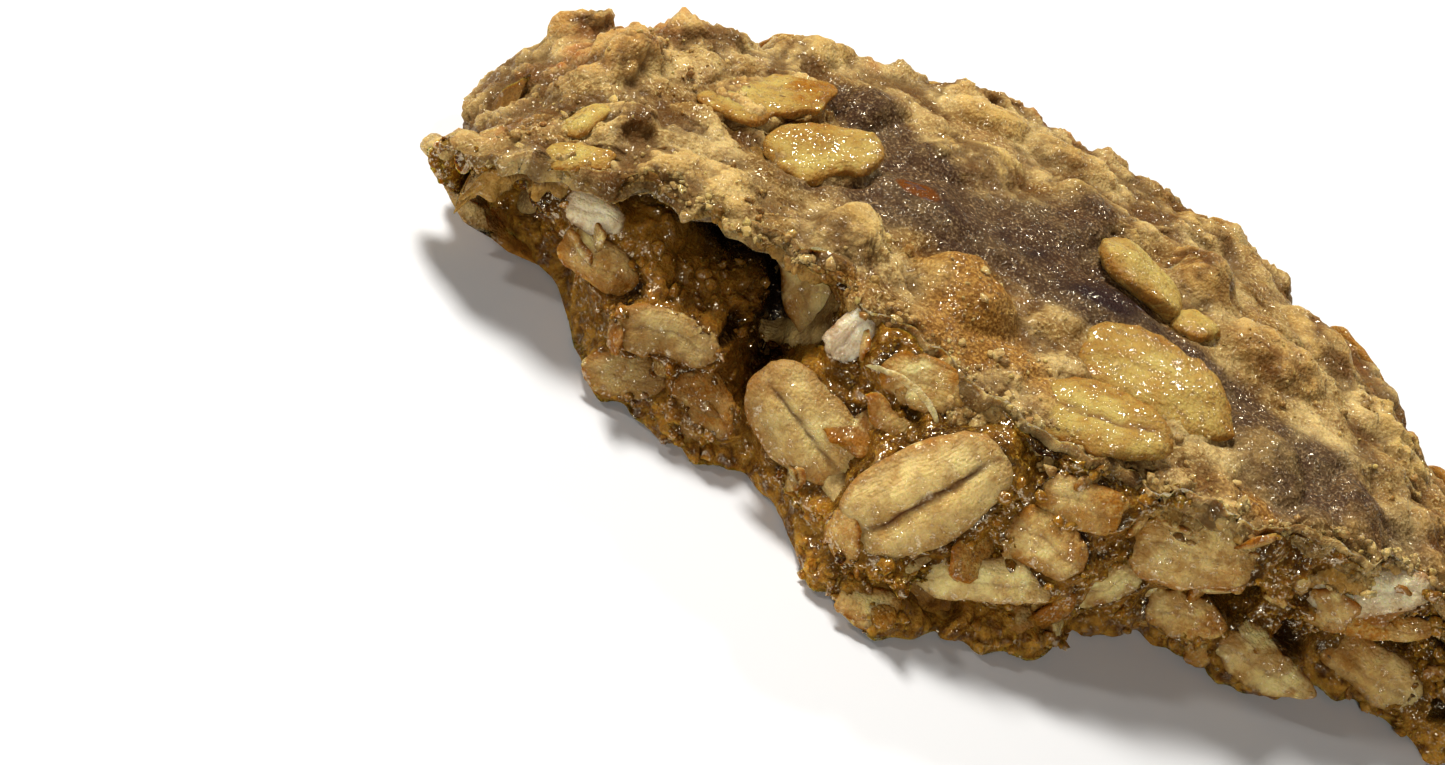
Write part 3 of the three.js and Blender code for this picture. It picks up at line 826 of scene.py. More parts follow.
# %% The crust's finish
def crust_finish():
    """A tan that drifts between two tones, and twelve coats over it."""
    f = Finish("baked crust")
    broad, medium, fine, grain = f.noise(5.0), f.noise(1.2), f.noise(0.26, 2), f.cells(0.3)
    syrup, stain = f.mark("syrup").between(0.2, 0.7), f.mark("stain")
    amber = f.paint((122, 76, 22), (fine.between(0.4, 0.7), (188, 138, 62)))
    # lighter specks in the purple stain: partly grains, partly painted glints
    purple = f.paint((62, 40, 24), (fine.between(0.48, 0.75), (140, 112, 78)))
    underside = f.paint((168, 116, 44), (medium.between(0.3, 0.7), (104, 62, 18)))
    base = f.paint(
        (134, 98, 46),
        (broad.between(0.35, 0.65), (206, 174, 110)),
        (medium.between(0.45, 0.75) * 0.5, (112, 68, 18)),
        (f.noise(3.0).between(0.5, 0.66) * 0.5, (142, 104, 62)),
        # pale specks: sugar grains, and painted glints on them
        (fine.between(0.5, 0.66) * (0.12 + 0.55 * medium), (240, 210, 138)),
        (f.mark("toast") * medium.between(0.3, 0.6) * 0.85, (182, 110, 48)),
        (f.mark("pale") * medium.between(0.3, 0.62) * 0.6, (218, 184, 104)),
        (f.mark("torn") * 0.6, (168, 120, 40)),
        # painted shade: darker in pits, cracks, low places and round the flakes; on the top's crumbs a
        # darker tone at random
        (f.mark("shade_and_dark_tone") * 0.85, (76, 42, 10)),
        (syrup * (1.1 - 0.5 * medium), amber),
        (stain.between(0.15, 0.6) * (1.1 - 0.4 * medium), purple),
        (stain.between(0.95, 1.4) * broad.between(0.3, 0.6), (44, 26, 20)),
        (f.mark("window"), (104, 54, 8)),
        (f.mark("under").between(0.1, 0.9), underside),
    )
    wet = f.noise(1.4, 2).between(0.42, 0.58) * (0.6 + 0.3 * stain + 0.4 * syrup)
    return f.glinting(
        6.0 * wet * f.facets(0.55), f.bump(f.noise(FACET, 1), 0.24),
        Base_Color=base, Roughness=0.58 - 0.2 * wet,
        Normal=f.bump(0.5 * medium + 0.4 * fine - 0.3 * grain, 0.34),
        Subsurface_Weight=0.3, Subsurface_Radius=(1.0, 0.6, 0.25), Subsurface_Scale=0.0014,
    )


CRUST = crust_finish()
print(CRUST.name, "has", len(CRUST.node_tree.nodes), "nodes")

# %% [markdown]
# ## The moist inside
#
# Where the cookie broke, the dough is darker, wetter and slightly clear, like soft toffee full
# of crumbs, and red-brown towards the toasted underside. Painted shade makes it nearly black in
# the cavity under the crust and in the narrow gaps. Real glass-like transmission would render
# slowly and look like jelly. Subsurface scattering lets red light go further than blue, which
# gives the same warm glow, and syrup glints on it in fine and in wider spots.

# %% The inside's finish
def inside_finish():
    """A brown that drifts between two tones, and eight coats over it."""
    f = Finish("moist inside")
    broad, medium, fine, grain = f.noise(3.5), f.noise(1.1), f.noise(0.28, 2), f.cells(0.32)
    underside = f.paint((190, 138, 52), (medium.between(0.35, 0.65), (84, 44, 8)))
    base = f.paint(
        (70, 36, 4),
        (broad.between(0.35, 0.65), (138, 88, 16)),
        (medium.between(0.42, 0.72) * 0.45, (174, 120, 32)),
        # pale amber specks: partly grains, partly painted glints
        (fine.between(0.54, 0.66) * (0.2 + 0.6 * medium), (220, 172, 66)),
        (f.mark("crumb") * 0.6, (178, 124, 40)),
        (f.mark("stain") * 0.8, (92, 62, 34)),
        # painted shade round and below the cavity
        (f.mark("shade_below_cavity") * (0.4 + 0.6 * medium), (104, 60, 16)),
        # painted shade in the low places and pockets of the break and round its flakes; on the break's
        # crumbs a darker tone at random
        (f.mark("shade_and_dark_tone") * 0.95, (34, 14, 2)),
        (f.mark("under") * (0.6 + 0.5 * fine), underside),
        # painted shade: nearly black in the cavity under the crust's lip
        (f.mark("cavity_shade"), (20, 9, 3)),
    )
    wet = f.noise(0.8, 2).between(0.36, 0.54) * (1 - 0.7 * f.mark("under"))
    wide = 1.1
    return f.glinting(
        wet * (12.0 * f.facets(0.53) + 8.0 * f.facets(0.56, wide)),
        f.bump(0.35 * f.noise(FACET, 1) + f.noise(wide, 1), 0.4),
        Base_Color=base, Roughness=0.5 - 0.15 * wet,
        Normal=f.bump(0.5 * medium + 0.5 * fine - 0.3 * grain, 0.35),
        Subsurface_Weight=0.5, Subsurface_Radius=(1.0, 0.56, 0.16), Subsurface_Scale=0.0016,
    )


INSIDE = inside_finish()
print(INSIDE.name, "has", len(INSIDE.node_tree.nodes), "nodes")

# %% [markdown]
# ## Rolled oats
#
# A steamed and rolled oat is cream, with fine lines along it and a brown crease where the grain
# was grooved. Toasting turns its high places golden to orange, patches of syrup darken it, and
# a glaze of thin dough makes those on the top deeper in colour. A picture of wood grain could
# give the lines, but a noise stretched along the flake's own UV map fits every flake.

# %% The oats' finish
def oat_finish():
    """Cream turned golden by the toasting, and ten coats over it."""
    f = Finish("rolled oats")
    broad, medium, fine, grain = f.noise(2.6), f.noise(1.0), f.noise(0.35, 2), f.cells(0.28)
    stretch = {0: f.add("UVMap"), 1: (1.2, 22, 1)}
    along_flake = f.add("VectorMath", {"operation": "MULTIPLY"}, stretch)
    lines = f.add("TexNoise", None, {"Vector": along_flake, "Scale": 1.0, "Detail": 3.0})
    oat = f.paint(
        (255, 228, 152),
        (f.mark("toast"), (196, 128, 42)),
        (broad.between(0.5, 0.66) * 0.4, (172, 108, 24)),
        (lines.between(0.45, 0.75) * 0.25, (238, 212, 130)),
        # light specks: partly the oat's grain, partly painted glints
        (fine.between(0.42, 0.66) * 0.35, (250, 222, 132)),
        (f.mark("white") * 0.8, (255, 240, 206)),
    )
    base = f.paint(
        f.blend(f.mark("glaze"), oat, (0.56, 0.53, 0.36, 1), "MULTIPLY"),
        (f.mark("edge") * medium.between(0.25, 0.5) * (0.5 + 0.5 * f.mark("wet")), (130, 72, 8)),
        (f.mark("wet") * f.noise(1.8).between(0.45, 0.62) * 0.65, (154, 94, 12)),
        # painted shade on the flakes round and below the cavity
        (f.mark("shade_below_cavity") * (0.3 + 0.7 * medium), (108, 64, 16)),
        (f.mark("crease"), (104, 56, 24)),
        (medium.between(0.64, 0.76) * 0.35, (134, 88, 34)),
    )
    wet = f.noise(0.8, 2).between(0.38, 0.56) * (0.4 + 0.6 * f.mark("wet"))
    return f.glinting(
        wet * (6.0 * f.facets(0.59) + 5.0 * f.facets(0.62, 0.9)), f.bump(f.noise(FACET, 1), 0.18),
        Base_Color=base, Roughness=0.5 - 0.15 * wet,
        Normal=f.bump(0.3 * lines + 0.4 * medium + 0.4 * fine - 0.25 * grain, 0.42),
        Subsurface_Weight=0.45, Subsurface_Radius=(1.0, 0.65, 0.25), Subsurface_Scale=0.0018,
    )


OATS = oat_finish()
print(OATS.name, "has", len(OATS.node_tree.nodes), "nodes")

# %% [markdown]
# ## Raisin skin
#
# Raisins are nearly black with a red-brown glow where light gets through the skin, and shiny
# where syrup covers them. A clear coat over a dark, slightly translucent skin is how they are
# built in life too, and it needs no second shader.

# %% The raisins' finish
def raisin_finish():
    """Red-brown that drifts between two tones, darker in fine spots, under a thin coat."""
    f = Finish("raisin skin")
    broad, fine = f.noise(2.2), f.noise(0.5, 2)
    base = f.paint(
        (42, 24, 16),
        (broad.between(0.4, 0.65), (92, 46, 22)),
        (fine.between(0.5, 0.8) * 0.4, (22, 13, 10)),
    )
    return f.shade(
        Base_Color=base, Roughness=0.3 + 0.25 * fine, Coat_Weight=0.3, Coat_Roughness=0.15,
        Normal=f.bump(fine, 0.3, strength=0.5), IOR=1.48,
        Subsurface_Weight=0.15, Subsurface_Radius=(1.0, 0.4, 0.15), Subsurface_Scale=0.001,
    )


RAISIN_SKIN = raisin_finish()
print(RAISIN_SKIN.name, "has", len(RAISIN_SKIN.node_tree.nodes), "nodes")

# %% [markdown]
# ## Stains and syrup
#
# Juice from a raisin turns the dough round it purple-grey, melted sugar soaks some flakes and
# lumps until they are amber, and in one small place the film is torn off a raisin. Weight
# painting could mark such places, one mesh at a time. Here each is a sum of a few oval bells,
# and the same functions mark every piece, so that a stain runs on from one to the next.

# %% Stains and syrup
# x, y, half length, half width, turn in degrees, strength
STAINS = [
    (-13, 26, 8, 4.2, -39, 1.0), (-20, 12.5, 7, 3, 15, 0.6), (-8, 16.5, 8.5, 6, -7, 1.3),
    (1.5, 19, 8, 6, -20, 1.0), (8.5, 14, 8, 4.2, -17, 1.7), (17, 11.5, 6.5, 3, -10, 1.1),
    (29, 5, 15, 7.5, 8, 0.8), (-38, 22, 3, 2, 0, 0.35), (-28, 13.5, 4.6, 2.6, 10, 0.6),
    (4.8, 25.5, 6, 4.4, 60, 0.6), (24, 10, 8, 5, -5, 0.3),
]

# clear amber syrup over a flake or a lump: x, y, half length, half width, turn, strength
SYRUPS = [
    (-3.8, 8, 6.5, 5, -19, 1.0), (4.8, 25, 5.5, 4, 60, 0.8), (-5, 1.5, 6, 3.6, 8, 0.9),
    (-13.5, 3, 3, 2.4, 0, 0.8), (3, 2, 5, 3, -20, 0.7), (-18.6, 16, 3, 3, 0, 0.5),
    (20, 0, 7, 3.4, 4, 0.8), (33, 3.4, 7, 3, 10, 0.6), (-34, 20, 4, 3, 60, 0.5),
    (-24, 24, 4, 3, 45, 0.5),
]


def syrup_at(p):
    """Sum of the syrup's bells, uneven by a slow noise, at most 1."""
    total = bells(p[..., 0], p[..., 1], SYRUPS, steep=1.6)
    return np.minimum(total * (0.8 + 0.5 * rough(p, 3, 3, 78)), 1)


def window_at(p):
    """Where the film is torn off a raisin: inside one oval with an uneven edge."""
    inside = over_shape(p[..., 0], p[..., 1], *WINDOW)
    return ease(inside + 0.4 * rough(p, 1.5, 2, 79), 0.1, 0.5) * (p[..., 2] > SHOULDER)


def stain_at(p):
    """Sum of the stains' bells, uneven too, fading downwards over a few millimetres."""
    total = bells(p[..., 0], p[..., 1], STAINS, steep=1.4)
    return total * ease(p[..., 2], 7, 12) * (0.75 + 0.5 * rough(p, 4, 3, 77))


middle = np.array([[0.0, 18, CROWN]])
print("stain and syrup in the middle of the top:", stain_at(middle).round(2), syrup_at(middle).round(2))

# %% [markdown]
# ## Relief of the crust
#
# Baked dough swells in clods, cracks between them and is granular all over. A displacement
# modifier could raise it, but here one function gives how far every point of the crust moves
# outwards, from clods of five millimetres down to bits of less than one. Two pieces share it,
# so that they meet without a step. The syrup and the juice that soaked the dough also smoothed
# it, so they calm the relief.

# %% Relief of the crust
# size in mm, seed and width of the cracks of the three sizes of crumb
CLODS, CRUMBS, BITS = (5.4, 3, 0.9), (2.2, 4, 0.4), (0.9, 5, 0.35)
# the height at which crumbs neither add to the dough nor take from it
MEAN_CRUMB = 0.4
# painted shade round and below the cavity in the break: x, z, half width, half height
SHADE_BELOW_CAVITY = (-21, 5, 9, 7)


def crust_relief(points, stain, rim):
    """Relief in mm, and how much painted shade each point gets in pits, cracks and low places:
    swells, plus crumbs of three sizes on warped places, less the peaks of a slow noise."""
    warped = points + 0.9 * wander(points, 4, 2, 12)
    smoothed = np.maximum(ease(stain, 0.3, 0.9), ease(syrup_at(points), 0.3, 0.8))
    calm = (1 - 0.65 * smoothed) * (0.75 + 0.35 * rim)
    sandy = ease(rough(points, 9, 2, 15) + 0.5 * rim, -0.1, 0.5)
    lumpy = 0.8 + 0.4 * np.maximum(ease(-points[:, 0], 12, 26), rim)
    clod, crumb, bit = (crumbly(warped, *row) - MEAN_CRUMB for row in (CLODS, CRUMBS, BITS))
    pits = ease(noise(warped, 2.6, 23), 0.66, 0.9) * (0.4 + 0.6 * sandy)
    relief = 0.75 * rough(points, 3.6, 4, 11) + 0.18 * rough(points, 1.1, 3, 19) - 0.6 * pits
    relief += lumpy * clod + (0.14 + 0.18 * sandy) * crumb + (0.12 + 0.1 * sandy) * bit
    return calm * relief, np.clip(0.6 * pits * calm + 0.95 * ease(-relief, 0.05, 0.65), 0, 1)


def crust_skin(points, up, stain, pale, toasted, outlined):
    """Relief of a piece of crust, and what its finish wants to know at each point: toast on
    high places, syrup, stains, painted shade in pits and round the flakes, and a toasted
    underside."""
    x, y, z = points.T
    rim = ease(np.hypot(x, y) / RADIUS, 0.75, 0.97)
    relief, shade_and_dark_tone = crust_relief(points, stain, rim)
    # painted shade also along the outlines of the flakes
    shade_and_dark_tone = np.maximum(shade_and_dark_tone, 0.45 * outlined * up)
    swell = rough(points, 4.2, 4, 11)
    high = ease(swell + 0.8 * rim * ease(z, 5, 11), 0.5, 1.4)
    return relief, {
        "toast": np.clip(0.6 * toasted + high, 0, 1),
        "pale": pale * (1 - shade_and_dark_tone),
        "stain": stain,
        "syrup": syrup_at(points),
        "window": window_at(points),
        "shade_and_dark_tone": shade_and_dark_tone,
        "under": 1 - ease(z + 1.2 * swell, 0.3, 3.2),
    }


def shade_below_cavity_at(p):
    """Painted shade round and below the cavity: one bell in the break."""
    bell = np.exp(-off_middle(p[..., 0], p[..., 2], *SHADE_BELOW_CAVITY))
    return bell * ease(13 - p[..., 2], 0, 3) * ease(p[..., 1], 14, 10)


print("relief in the middle of the top (mm):", crust_relief(middle, stain_at(middle), 0)[0].round(2))

# %% [markdown]
# ## The dough
#
# The dough is one closed skin: rings run out over the flat underside, up the wall and in over
# the top, and meet in a point at each side. Extrusion and sculpting could make it too, but as
# rings it has even faces everywhere. The broken stretch is held back and the front of the top
# is lowered, because two finer pieces cover them.

# %% Rings of the dough
STEPS_BREAK, STEPS_RIM = 300, 360
ROWS_BOTTOM, ROWS_WALL, ROWS_TOP = 20, 40, 84
# how far the break is held back behind the finer one, and how much further in the cavity
HELD_BACK = 1.6
CAVITY_DEPTH = 5.0
# the finer front: its ends in x, how far back it reaches, and how far it stays off the rim
FRONT_ENDS = (-41.0, 44.8)
FRONT_REACH = 25.0
RIM_CLEARANCE = 4.5
# how far the two overlap, and how much lower the hidden one lies
OVERLAP = 0.9
LOWERED = 2.0
# the ways outwards at the two end points: down and up
POLES = (0, 0, -1), (0, 0, 1)


def front_limit(x):
    """y where the finer front of the crust ends: a fixed reach, or just short of the rim."""
    angle = np.arcsin(np.clip(x / RADIUS, -0.98, 0.98))
    rim_y = rim_radius(angle) * np.cos(angle) - RIM_CLEARANCE
    reach = broken_edge(x) + FRONT_REACH
    return reach - np.logaddexp(0, reach - rim_y)


def inside_front(x, y):
    """How far inside the finer front a place lies, in mm, and clear of the round shoulder."""
    across = np.minimum(x - FRONT_ENDS[0], FRONT_ENDS[1] - x)
    from_rim = rim_radius(np.arctan2(x, y)) - 0.8 * SHOULDER_ROUND - np.hypot(x, y)
    return np.minimum(np.minimum(across, from_rim), front_limit(x) - y)


def dough_rings():
    """Rings of points from the middle of the underside to the middle of the top: straight
    runs from the middle to the wall's foot, the wall, and straight runs back."""
    on_break = np.linspace(0, BREAK_LENGTH, STEPS_BREAK, endpoint=False)
    on_rim = BREAK_LENGTH + np.linspace(0, RIM_LENGTH, STEPS_RIM, endpoint=False)
    s = np.concatenate([on_break, on_rim])
    share = np.sin(np.pi / 2 * np.linspace(0, 1, ROWS_WALL))[:, None]
    held = HELD_BACK * ease(1 - share, 0.0, 0.08) + CAVITY_DEPTH * hollow(edge(s)[3], share)
    side = wall(s[None, :] + 0 * share, share + 0 * s, held)
    into = np.linspace(1, 0, ROWS_BOTTOM, endpoint=False)[1:, None, None] ** 1.6
    under = side[0, None, :, :2] * (1 - into) + CENTRE * into
    into = np.linspace(0, 1, ROWS_TOP, endpoint=False)[1:, None, None]
    top = side[-1, None, :, :2] * (1 - into) + CENTRE * into
    under_z, top_z = bottom_height(*np.moveaxis(under, -1, 0)), top_height(*np.moveaxis(top, -1, 0))
    return np.concatenate([np.dstack([under, under_z]), side, np.dstack([top, top_z])])


print("rings of the dough:", dough_rings().shape[:2])

# %% The dough
def dough():
    """The rings' skin, raised to the film where it faces up, and moved out by its relief."""
    rings = dough_rings()
    rows, around = rings.shape[:2]
    quads, ends = band_faces(rows, around)
    first, last = [*CENTRE, 0.0], [*CENTRE, float(top_height(*CENTRE))]
    points = np.concatenate([[first], rings.reshape(-1, 3), [last]])
    x, y, z = points.T
    on_top = np.arange(len(points)) > (ROWS_BOTTOM - 1 + ROWS_WALL) * around
    up = np.maximum(ease(outward(points, quads, POLES)[:, 2], 0.1, 0.6), on_top)
    film, pale, toasted, outlined = film_height(x, y)
    stain = stain_at(points) * up
    lying = ease(z, 0.0, 1.2)
    points[:, 2] += up * ease(z - film, -9, -2) * (film - top_height(x, y))
    relief, marks = crust_skin(points, up, stain, pale, toasted, outlined)
    covered = ease(inside_front(x, y), OVERLAP, 2.2) * up * ease(z, 5, 9)
    points += (relief * lying * (1 - covered))[:, None] * outward(points, quads, POLES)
    points[:, 2] -= LOWERED * covered
    return make_piece("dough", points, [quads, ends], CRUST, marks)


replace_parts(dough(), "cookie_half")

# %% [markdown]
# ## The front of the crust
#
# The top's front is what a viewer sees first. Dividing the whole dough more finely would cost
# millions of faces, so the front is a piece of its own with steps of less than a fifth of a
# millimetre. It is a tube across the cookie: each ring comes forward over the top, rounds the
# lip, runs a little way down the break and goes back inside. Over the cavity the lip is thin
# and sharp; elsewhere it is rounder and reaches further down.

# %% Rings across the front
STEPS_ACROSS, ROWS_OVER, ROWS_LIP, ROWS_INSIDE = 520, 132, 14, 6
# the lip's rounding, the most that it sinks, and how far it comes down: usually and over the
# cavity, which lies round one x and fades out over a length
LIP_ROUND = 1.6
LIP_SUNK = 1.2
LIP_DROP, THIN_DROP = 2.8, 1.2
THIN_MIDDLE, THIN_LENGTH = -22, 10


def front_rings():
    """Rings in planes of one x: over the top with the film, sunk by a quarter round near the
    lip, then down the break's own depth, then straight back inside."""
    x = np.linspace(*FRONT_ENDS, STEPS_ACROSS)[:, None]
    front, back = broken_edge(x), front_limit(x)
    thin = np.exp(-(((x - THIN_MIDDLE) / THIN_LENGTH) ** 2))
    y = back + (front - back) * np.linspace(0, 1, ROWS_OVER) ** 0.9
    top = film_height(x + 0 * y, y)[0]
    near = np.clip(1 - (y - front) / LIP_ROUND, 0, 1)
    sunk = LIP_ROUND * (1 - np.sqrt(1 - near**2)) * (0.85 - 0.6 * thin)
    over = np.stack([x + 0 * y, y, top - np.minimum(sunk, LIP_SUNK)], -1)
    drop = LIP_DROP + (THIN_DROP - LIP_DROP) * thin
    down = np.linspace(0, 1, ROWS_LIP + 1)[1:] * drop
    lip_y = front + break_depth(x, 1 - down / WALL_HEIGHT)
    lip = np.stack([x + 0 * lip_y, lip_y, over[:, -1:, 2] - down], -1)
    inward = np.linspace(0.6, 5, ROWS_INSIDE)
    inside_y = lip[:, -1:, 1] + inward
    inside = np.stack([x + 0 * inside_y, inside_y, lip[:, -1:, 2] + 0.15 * inward * thin], -1)
    return np.concatenate([over, lip, inside], axis=1)


print("rings of the front:", front_rings().shape[:2])

# %% The front of the crust
def front_crust():
    """The tube with the crust's relief, a torn lip, and its rim dipped into the dough."""
    rings = front_rings()
    quads, fans = band_faces(*rings.shape[:2])
    points = closed(rings)
    n = outward(points, quads)
    x, y, _ = points.T
    up = ease(n[:, 2], -0.1, 0.5)
    _, pale, toasted, outlined = film_height(x, y)
    stain = stain_at(points) * up
    relief, marks = crust_skin(points, up, stain, pale * up, toasted * up, outlined)
    marks["under"] *= 0
    marks["torn"] = 1 - up
    lip = 1 - ease(y - broken_edge(x), 0.4, 2.5)
    torn = 0.5 * (crumbly(points, 1.3, 31) - MEAN_CRUMB) + 0.3 * rough(points, 0.9, 2, 32)
    points += (relief + lip * torn)[:, None] * n
    dive = 1 - ease(inside_front(x, y), 0, OVERLAP)
    points[:, 2] -= LOWERED * dive
    make_piece("front_crust", points, [quads, fans], CRUST, marks)
    return points, n, up * (1 - dive), lip * (up > 0.05)


crust_points, crust_outward, crust_up, crust_lip = front_crust()

# %% [markdown]
# ## Dough round the flakes of the break
#
# In a break, dough clings to the outline of every flake and has come away from its middle.
# Flakes simply pushed into the dough would show a clean line of intersection, as toys do. So
# the dough near a flake is drawn up over its edge and in under its middle, unevenly.

# %% Dough round the flakes of the break
# the way that the flakes of the break face, and the way along it
FACE_OUTWARD = np.array([-0.1, -0.88, 0.46])
ALONG_BREAK = (1.0, 0, 0)
# the most that a point is moved, and how near a flake's plane it has to lie
MOST_LIFT = 2.0
REACH = 4.0


def flake_axes(way_out, turn, along=ALONG_BREAK):
    """A flake's three axes: its length and width, turned in the plane, and the way out. At no
    turn its length lies as near as it can to the given way along."""
    out = np.array(way_out) / np.linalg.norm(way_out)
    x = np.array(along) - out * (out @ along)
    x /= np.linalg.norm(x)
    y = np.cross(out, x)
    c, s = np.cos(np.radians(turn)), np.sin(np.radians(turn))
    return np.stack([c * x + s * y, c * y - s * x, out])


def face_place(x, z, proud):
    """The middle of a flake in the break, at its x and z on the wall and a little out."""
    y = broken_edge(x) + break_depth(x, z / top_height(x, broken_edge(x)))
    return np.array([x, y, z]) + 0.3 * proud * FACE_OUTWARD


def hug_flakes(points):
    """Points lifted towards a wanted height over each flake's plane: high on its outline, low
    within. Also says how near each point lies to an outline."""
    gap = np.zeros(len(points))
    moved = 0.5 * wander(points, 1.8, 3, 51)
    uneven = np.maximum(rough(points, 2.2, 3, 54), 0)
    for x, z, length, width, turn, proud, _ in FACE_OATS:
        axes = flake_axes(FACE_OUTWARD, turn)
        ragged = min(width / 6, 1)
        a, b, height = ((points + ragged * moved - face_place(x, z, proud)) @ axes.T).T
        inside = over_shape(a, b, 0, 0, length, width, 0) - 0.35 * ragged * uneven
        thick = flake_thickness(width, proud)
        rim_high = thick * (0.1 + 0.35 * uneven)
        wanted = rim_high - (rim_high + 0.4 * thick) * ease(inside, 0.2, 0.55)
        near = np.abs(height) < REACH
        gap = np.maximum(gap, np.exp(-(((inside - 0.1) / 0.4) ** 2)) * near)
        lift = np.clip(wanted - height, -MOST_LIFT, MOST_LIFT) * ease(inside, -0.9, 0.0) * near
        points = points + lift[:, None] * axes[2]
    return points, gap


print("the first flake's middle (mm):", face_place(*FACE_OATS[0][:2], 0).round(1))

# %% [markdown]
# ## The broken side
#
# The break shows the most detail, so it is a piece of its own with steps of a sixth of a
# millimetre. It could be a flat plane with a displacement map, but its ends and its underside
# would then lie open. As a tube along the break each ring runs up the front and comes back
# down inside the dough, where nobody sees it. Torn dough is crumbs on crumbs: its relief is
# slow swells, crumbly lumps, crumbs of two sizes where it is most torn, and pockets, darkened
# by painted shade.

# %% Rings along the break
STEPS_ALONG, ROWS_FRONT, ROWS_BACK = 560, 128, 6
# how far the tube runs on past both corners
PAST_CORNERS = 1.5
# shares of the height where its front begins and ends, and its back begins and ends
FRONT_FROM, FRONT_TO = 0.004, 0.96
BACK_FROM, BACK_TO = 0.78, 0.03
BACK_DEPTH = 3.5


def side_rings():
    """Rings of the tube: up the wall, deeper in the cavity, and down again further in."""
    s = np.linspace(-PAST_CORNERS, BREAK_LENGTH + PAST_CORNERS, STEPS_ALONG)[:, None] % PERIMETER
    share = np.linspace(FRONT_FROM, FRONT_TO, ROWS_FRONT)
    extra = CAVITY_DEPTH * hollow(edge(s)[3], share)
    front = wall(s + 0 * share, share + 0 * s, extra)
    share = np.linspace(BACK_FROM, BACK_TO, ROWS_BACK)
    back = wall(s + 0 * share, share + 0 * s, BACK_DEPTH + extra.max(axis=1, keepdims=True))
    return np.concatenate([front, back], axis=1)


print("rings of the broken side:", side_rings().shape[:2])

# %% Relief of the torn dough
def side_relief(points):
    """Relief of the torn dough, how torn it is, its lumps and its pockets: swells, lumps with
    flat tops, crumbs of two sizes, less the peaks of a slow noise."""
    warped = points + 0.8 * wander(points, 3.5, 2, 42)
    medium = crumbly(warped, 1.7, 42, 0.6) - MEAN_CRUMB
    fine = crumbly(warped, 0.75, 43, 0.5) - MEAN_CRUMB
    relief = 1.1 * rough(points, 5, 4, 44) + 0.45 * rough(points, 1.7, 4, 45)
    lumps = np.zeros(len(points))
    for *oval, out in FACE_LUMPS:
        lump = np.exp(-(off_middle(warped[:, 0], warped[:, 2], *oval) ** 1.5))
        relief += out * lump
        lumps = np.maximum(lumps, lump)
    torn = 0.25 + 0.75 * np.maximum(ease(lumps, 0.1, 0.6), ease(noise(points, 6, 48), 0.1, 0.5))
    pockets = ease(noise(warped, 3.0, 47), 0.45, 0.85) * (1 - lumps)
    relief += torn * (0.5 * medium + 0.2 * fine) + 0.14 * fine - 1.5 * pockets
    return relief, torn, pockets


print("relief in the middle of the break (mm):", side_relief(face_place(0, 8, 0)[None])[0].round(2))

# %% The broken side
def broken_side():
    """The tube with its relief and its marks, drawn up round the flakes."""
    rings = side_rings()
    points = closed(rings)
    quads, fans = (block[:, ::-1] for block in band_faces(*rings.shape[:2]))
    n = outward(points, quads)
    column = np.arange(ROWS_FRONT + ROWS_BACK) < ROWS_FRONT
    front_only = np.concatenate([[0], np.tile(column, STEPS_ALONG), [0]])
    x, y, z = points.T
    relief, torn, pockets = side_relief(points)
    relief = relief * (0.4 + 0.6 * ease(z, 0.1, 1.0)) * front_only
    marks = {
        "stain": stain_at(points),
        "crumb": torn * ease(relief, -0.2, 0.6),
        # painted shade in low places and pockets
        "shade_and_dark_tone": np.clip(ease(0.1 - relief, 0.0, 1.0) + pockets, 0, 1),
        # painted shade in the cavity under the crust's lip
        "cavity_shade": ease(y - broken_edge(x), 2.0, 6.0) * ease(z, 4.5, 7) * ease(x, -38, -33),
        # painted shade round and below the cavity
        "shade_below_cavity": shade_below_cavity_at(points),
        "under": 1 - ease(z + 1.6 * rough(points, 5, 4, 44), 1.2, 4.6),
    }
    points += relief[:, None] * n
    hugged, gap = hug_flakes(points)
    points += front_only[:, None] * (hugged - points)
    # painted shade along the outlines of the flakes, and less of it at the left end
    marks["shade_and_dark_tone"] = np.maximum(marks["shade_and_dark_tone"], 0.75 * gap * (0.7 + rough(points, 1.5, 2, 49)))
    marks["shade_and_dark_tone"] *= 0.2 + 0.8 * ease(x, -42, -34)
    points[:, 2] = np.maximum(points[:, 2], FLOOR_GAP)
    make_piece("broken_side", points, [quads, fans], INSIDE, marks)
    return points, n, front_only, torn


side_points, side_outward, side_front, side_torn = broken_side()

# %% [markdown]
# ## The flakes
#
# A rolled oat is a lens: narrower towards one tip, dented along its crease, cupped, and ragged
# where it tore. One flake could be modelled and instanced hundreds of times, but the eye finds
# the copies at once. Here each flake is worked out as a shape of its own, rings of points from
# one tip to the other, and they are joined into a few pieces.

# %% One flake
# how many mm one turn of the UV map covers, and how far the tips are drawn out
UV_SIZE = 4.0
TIP = 0.02


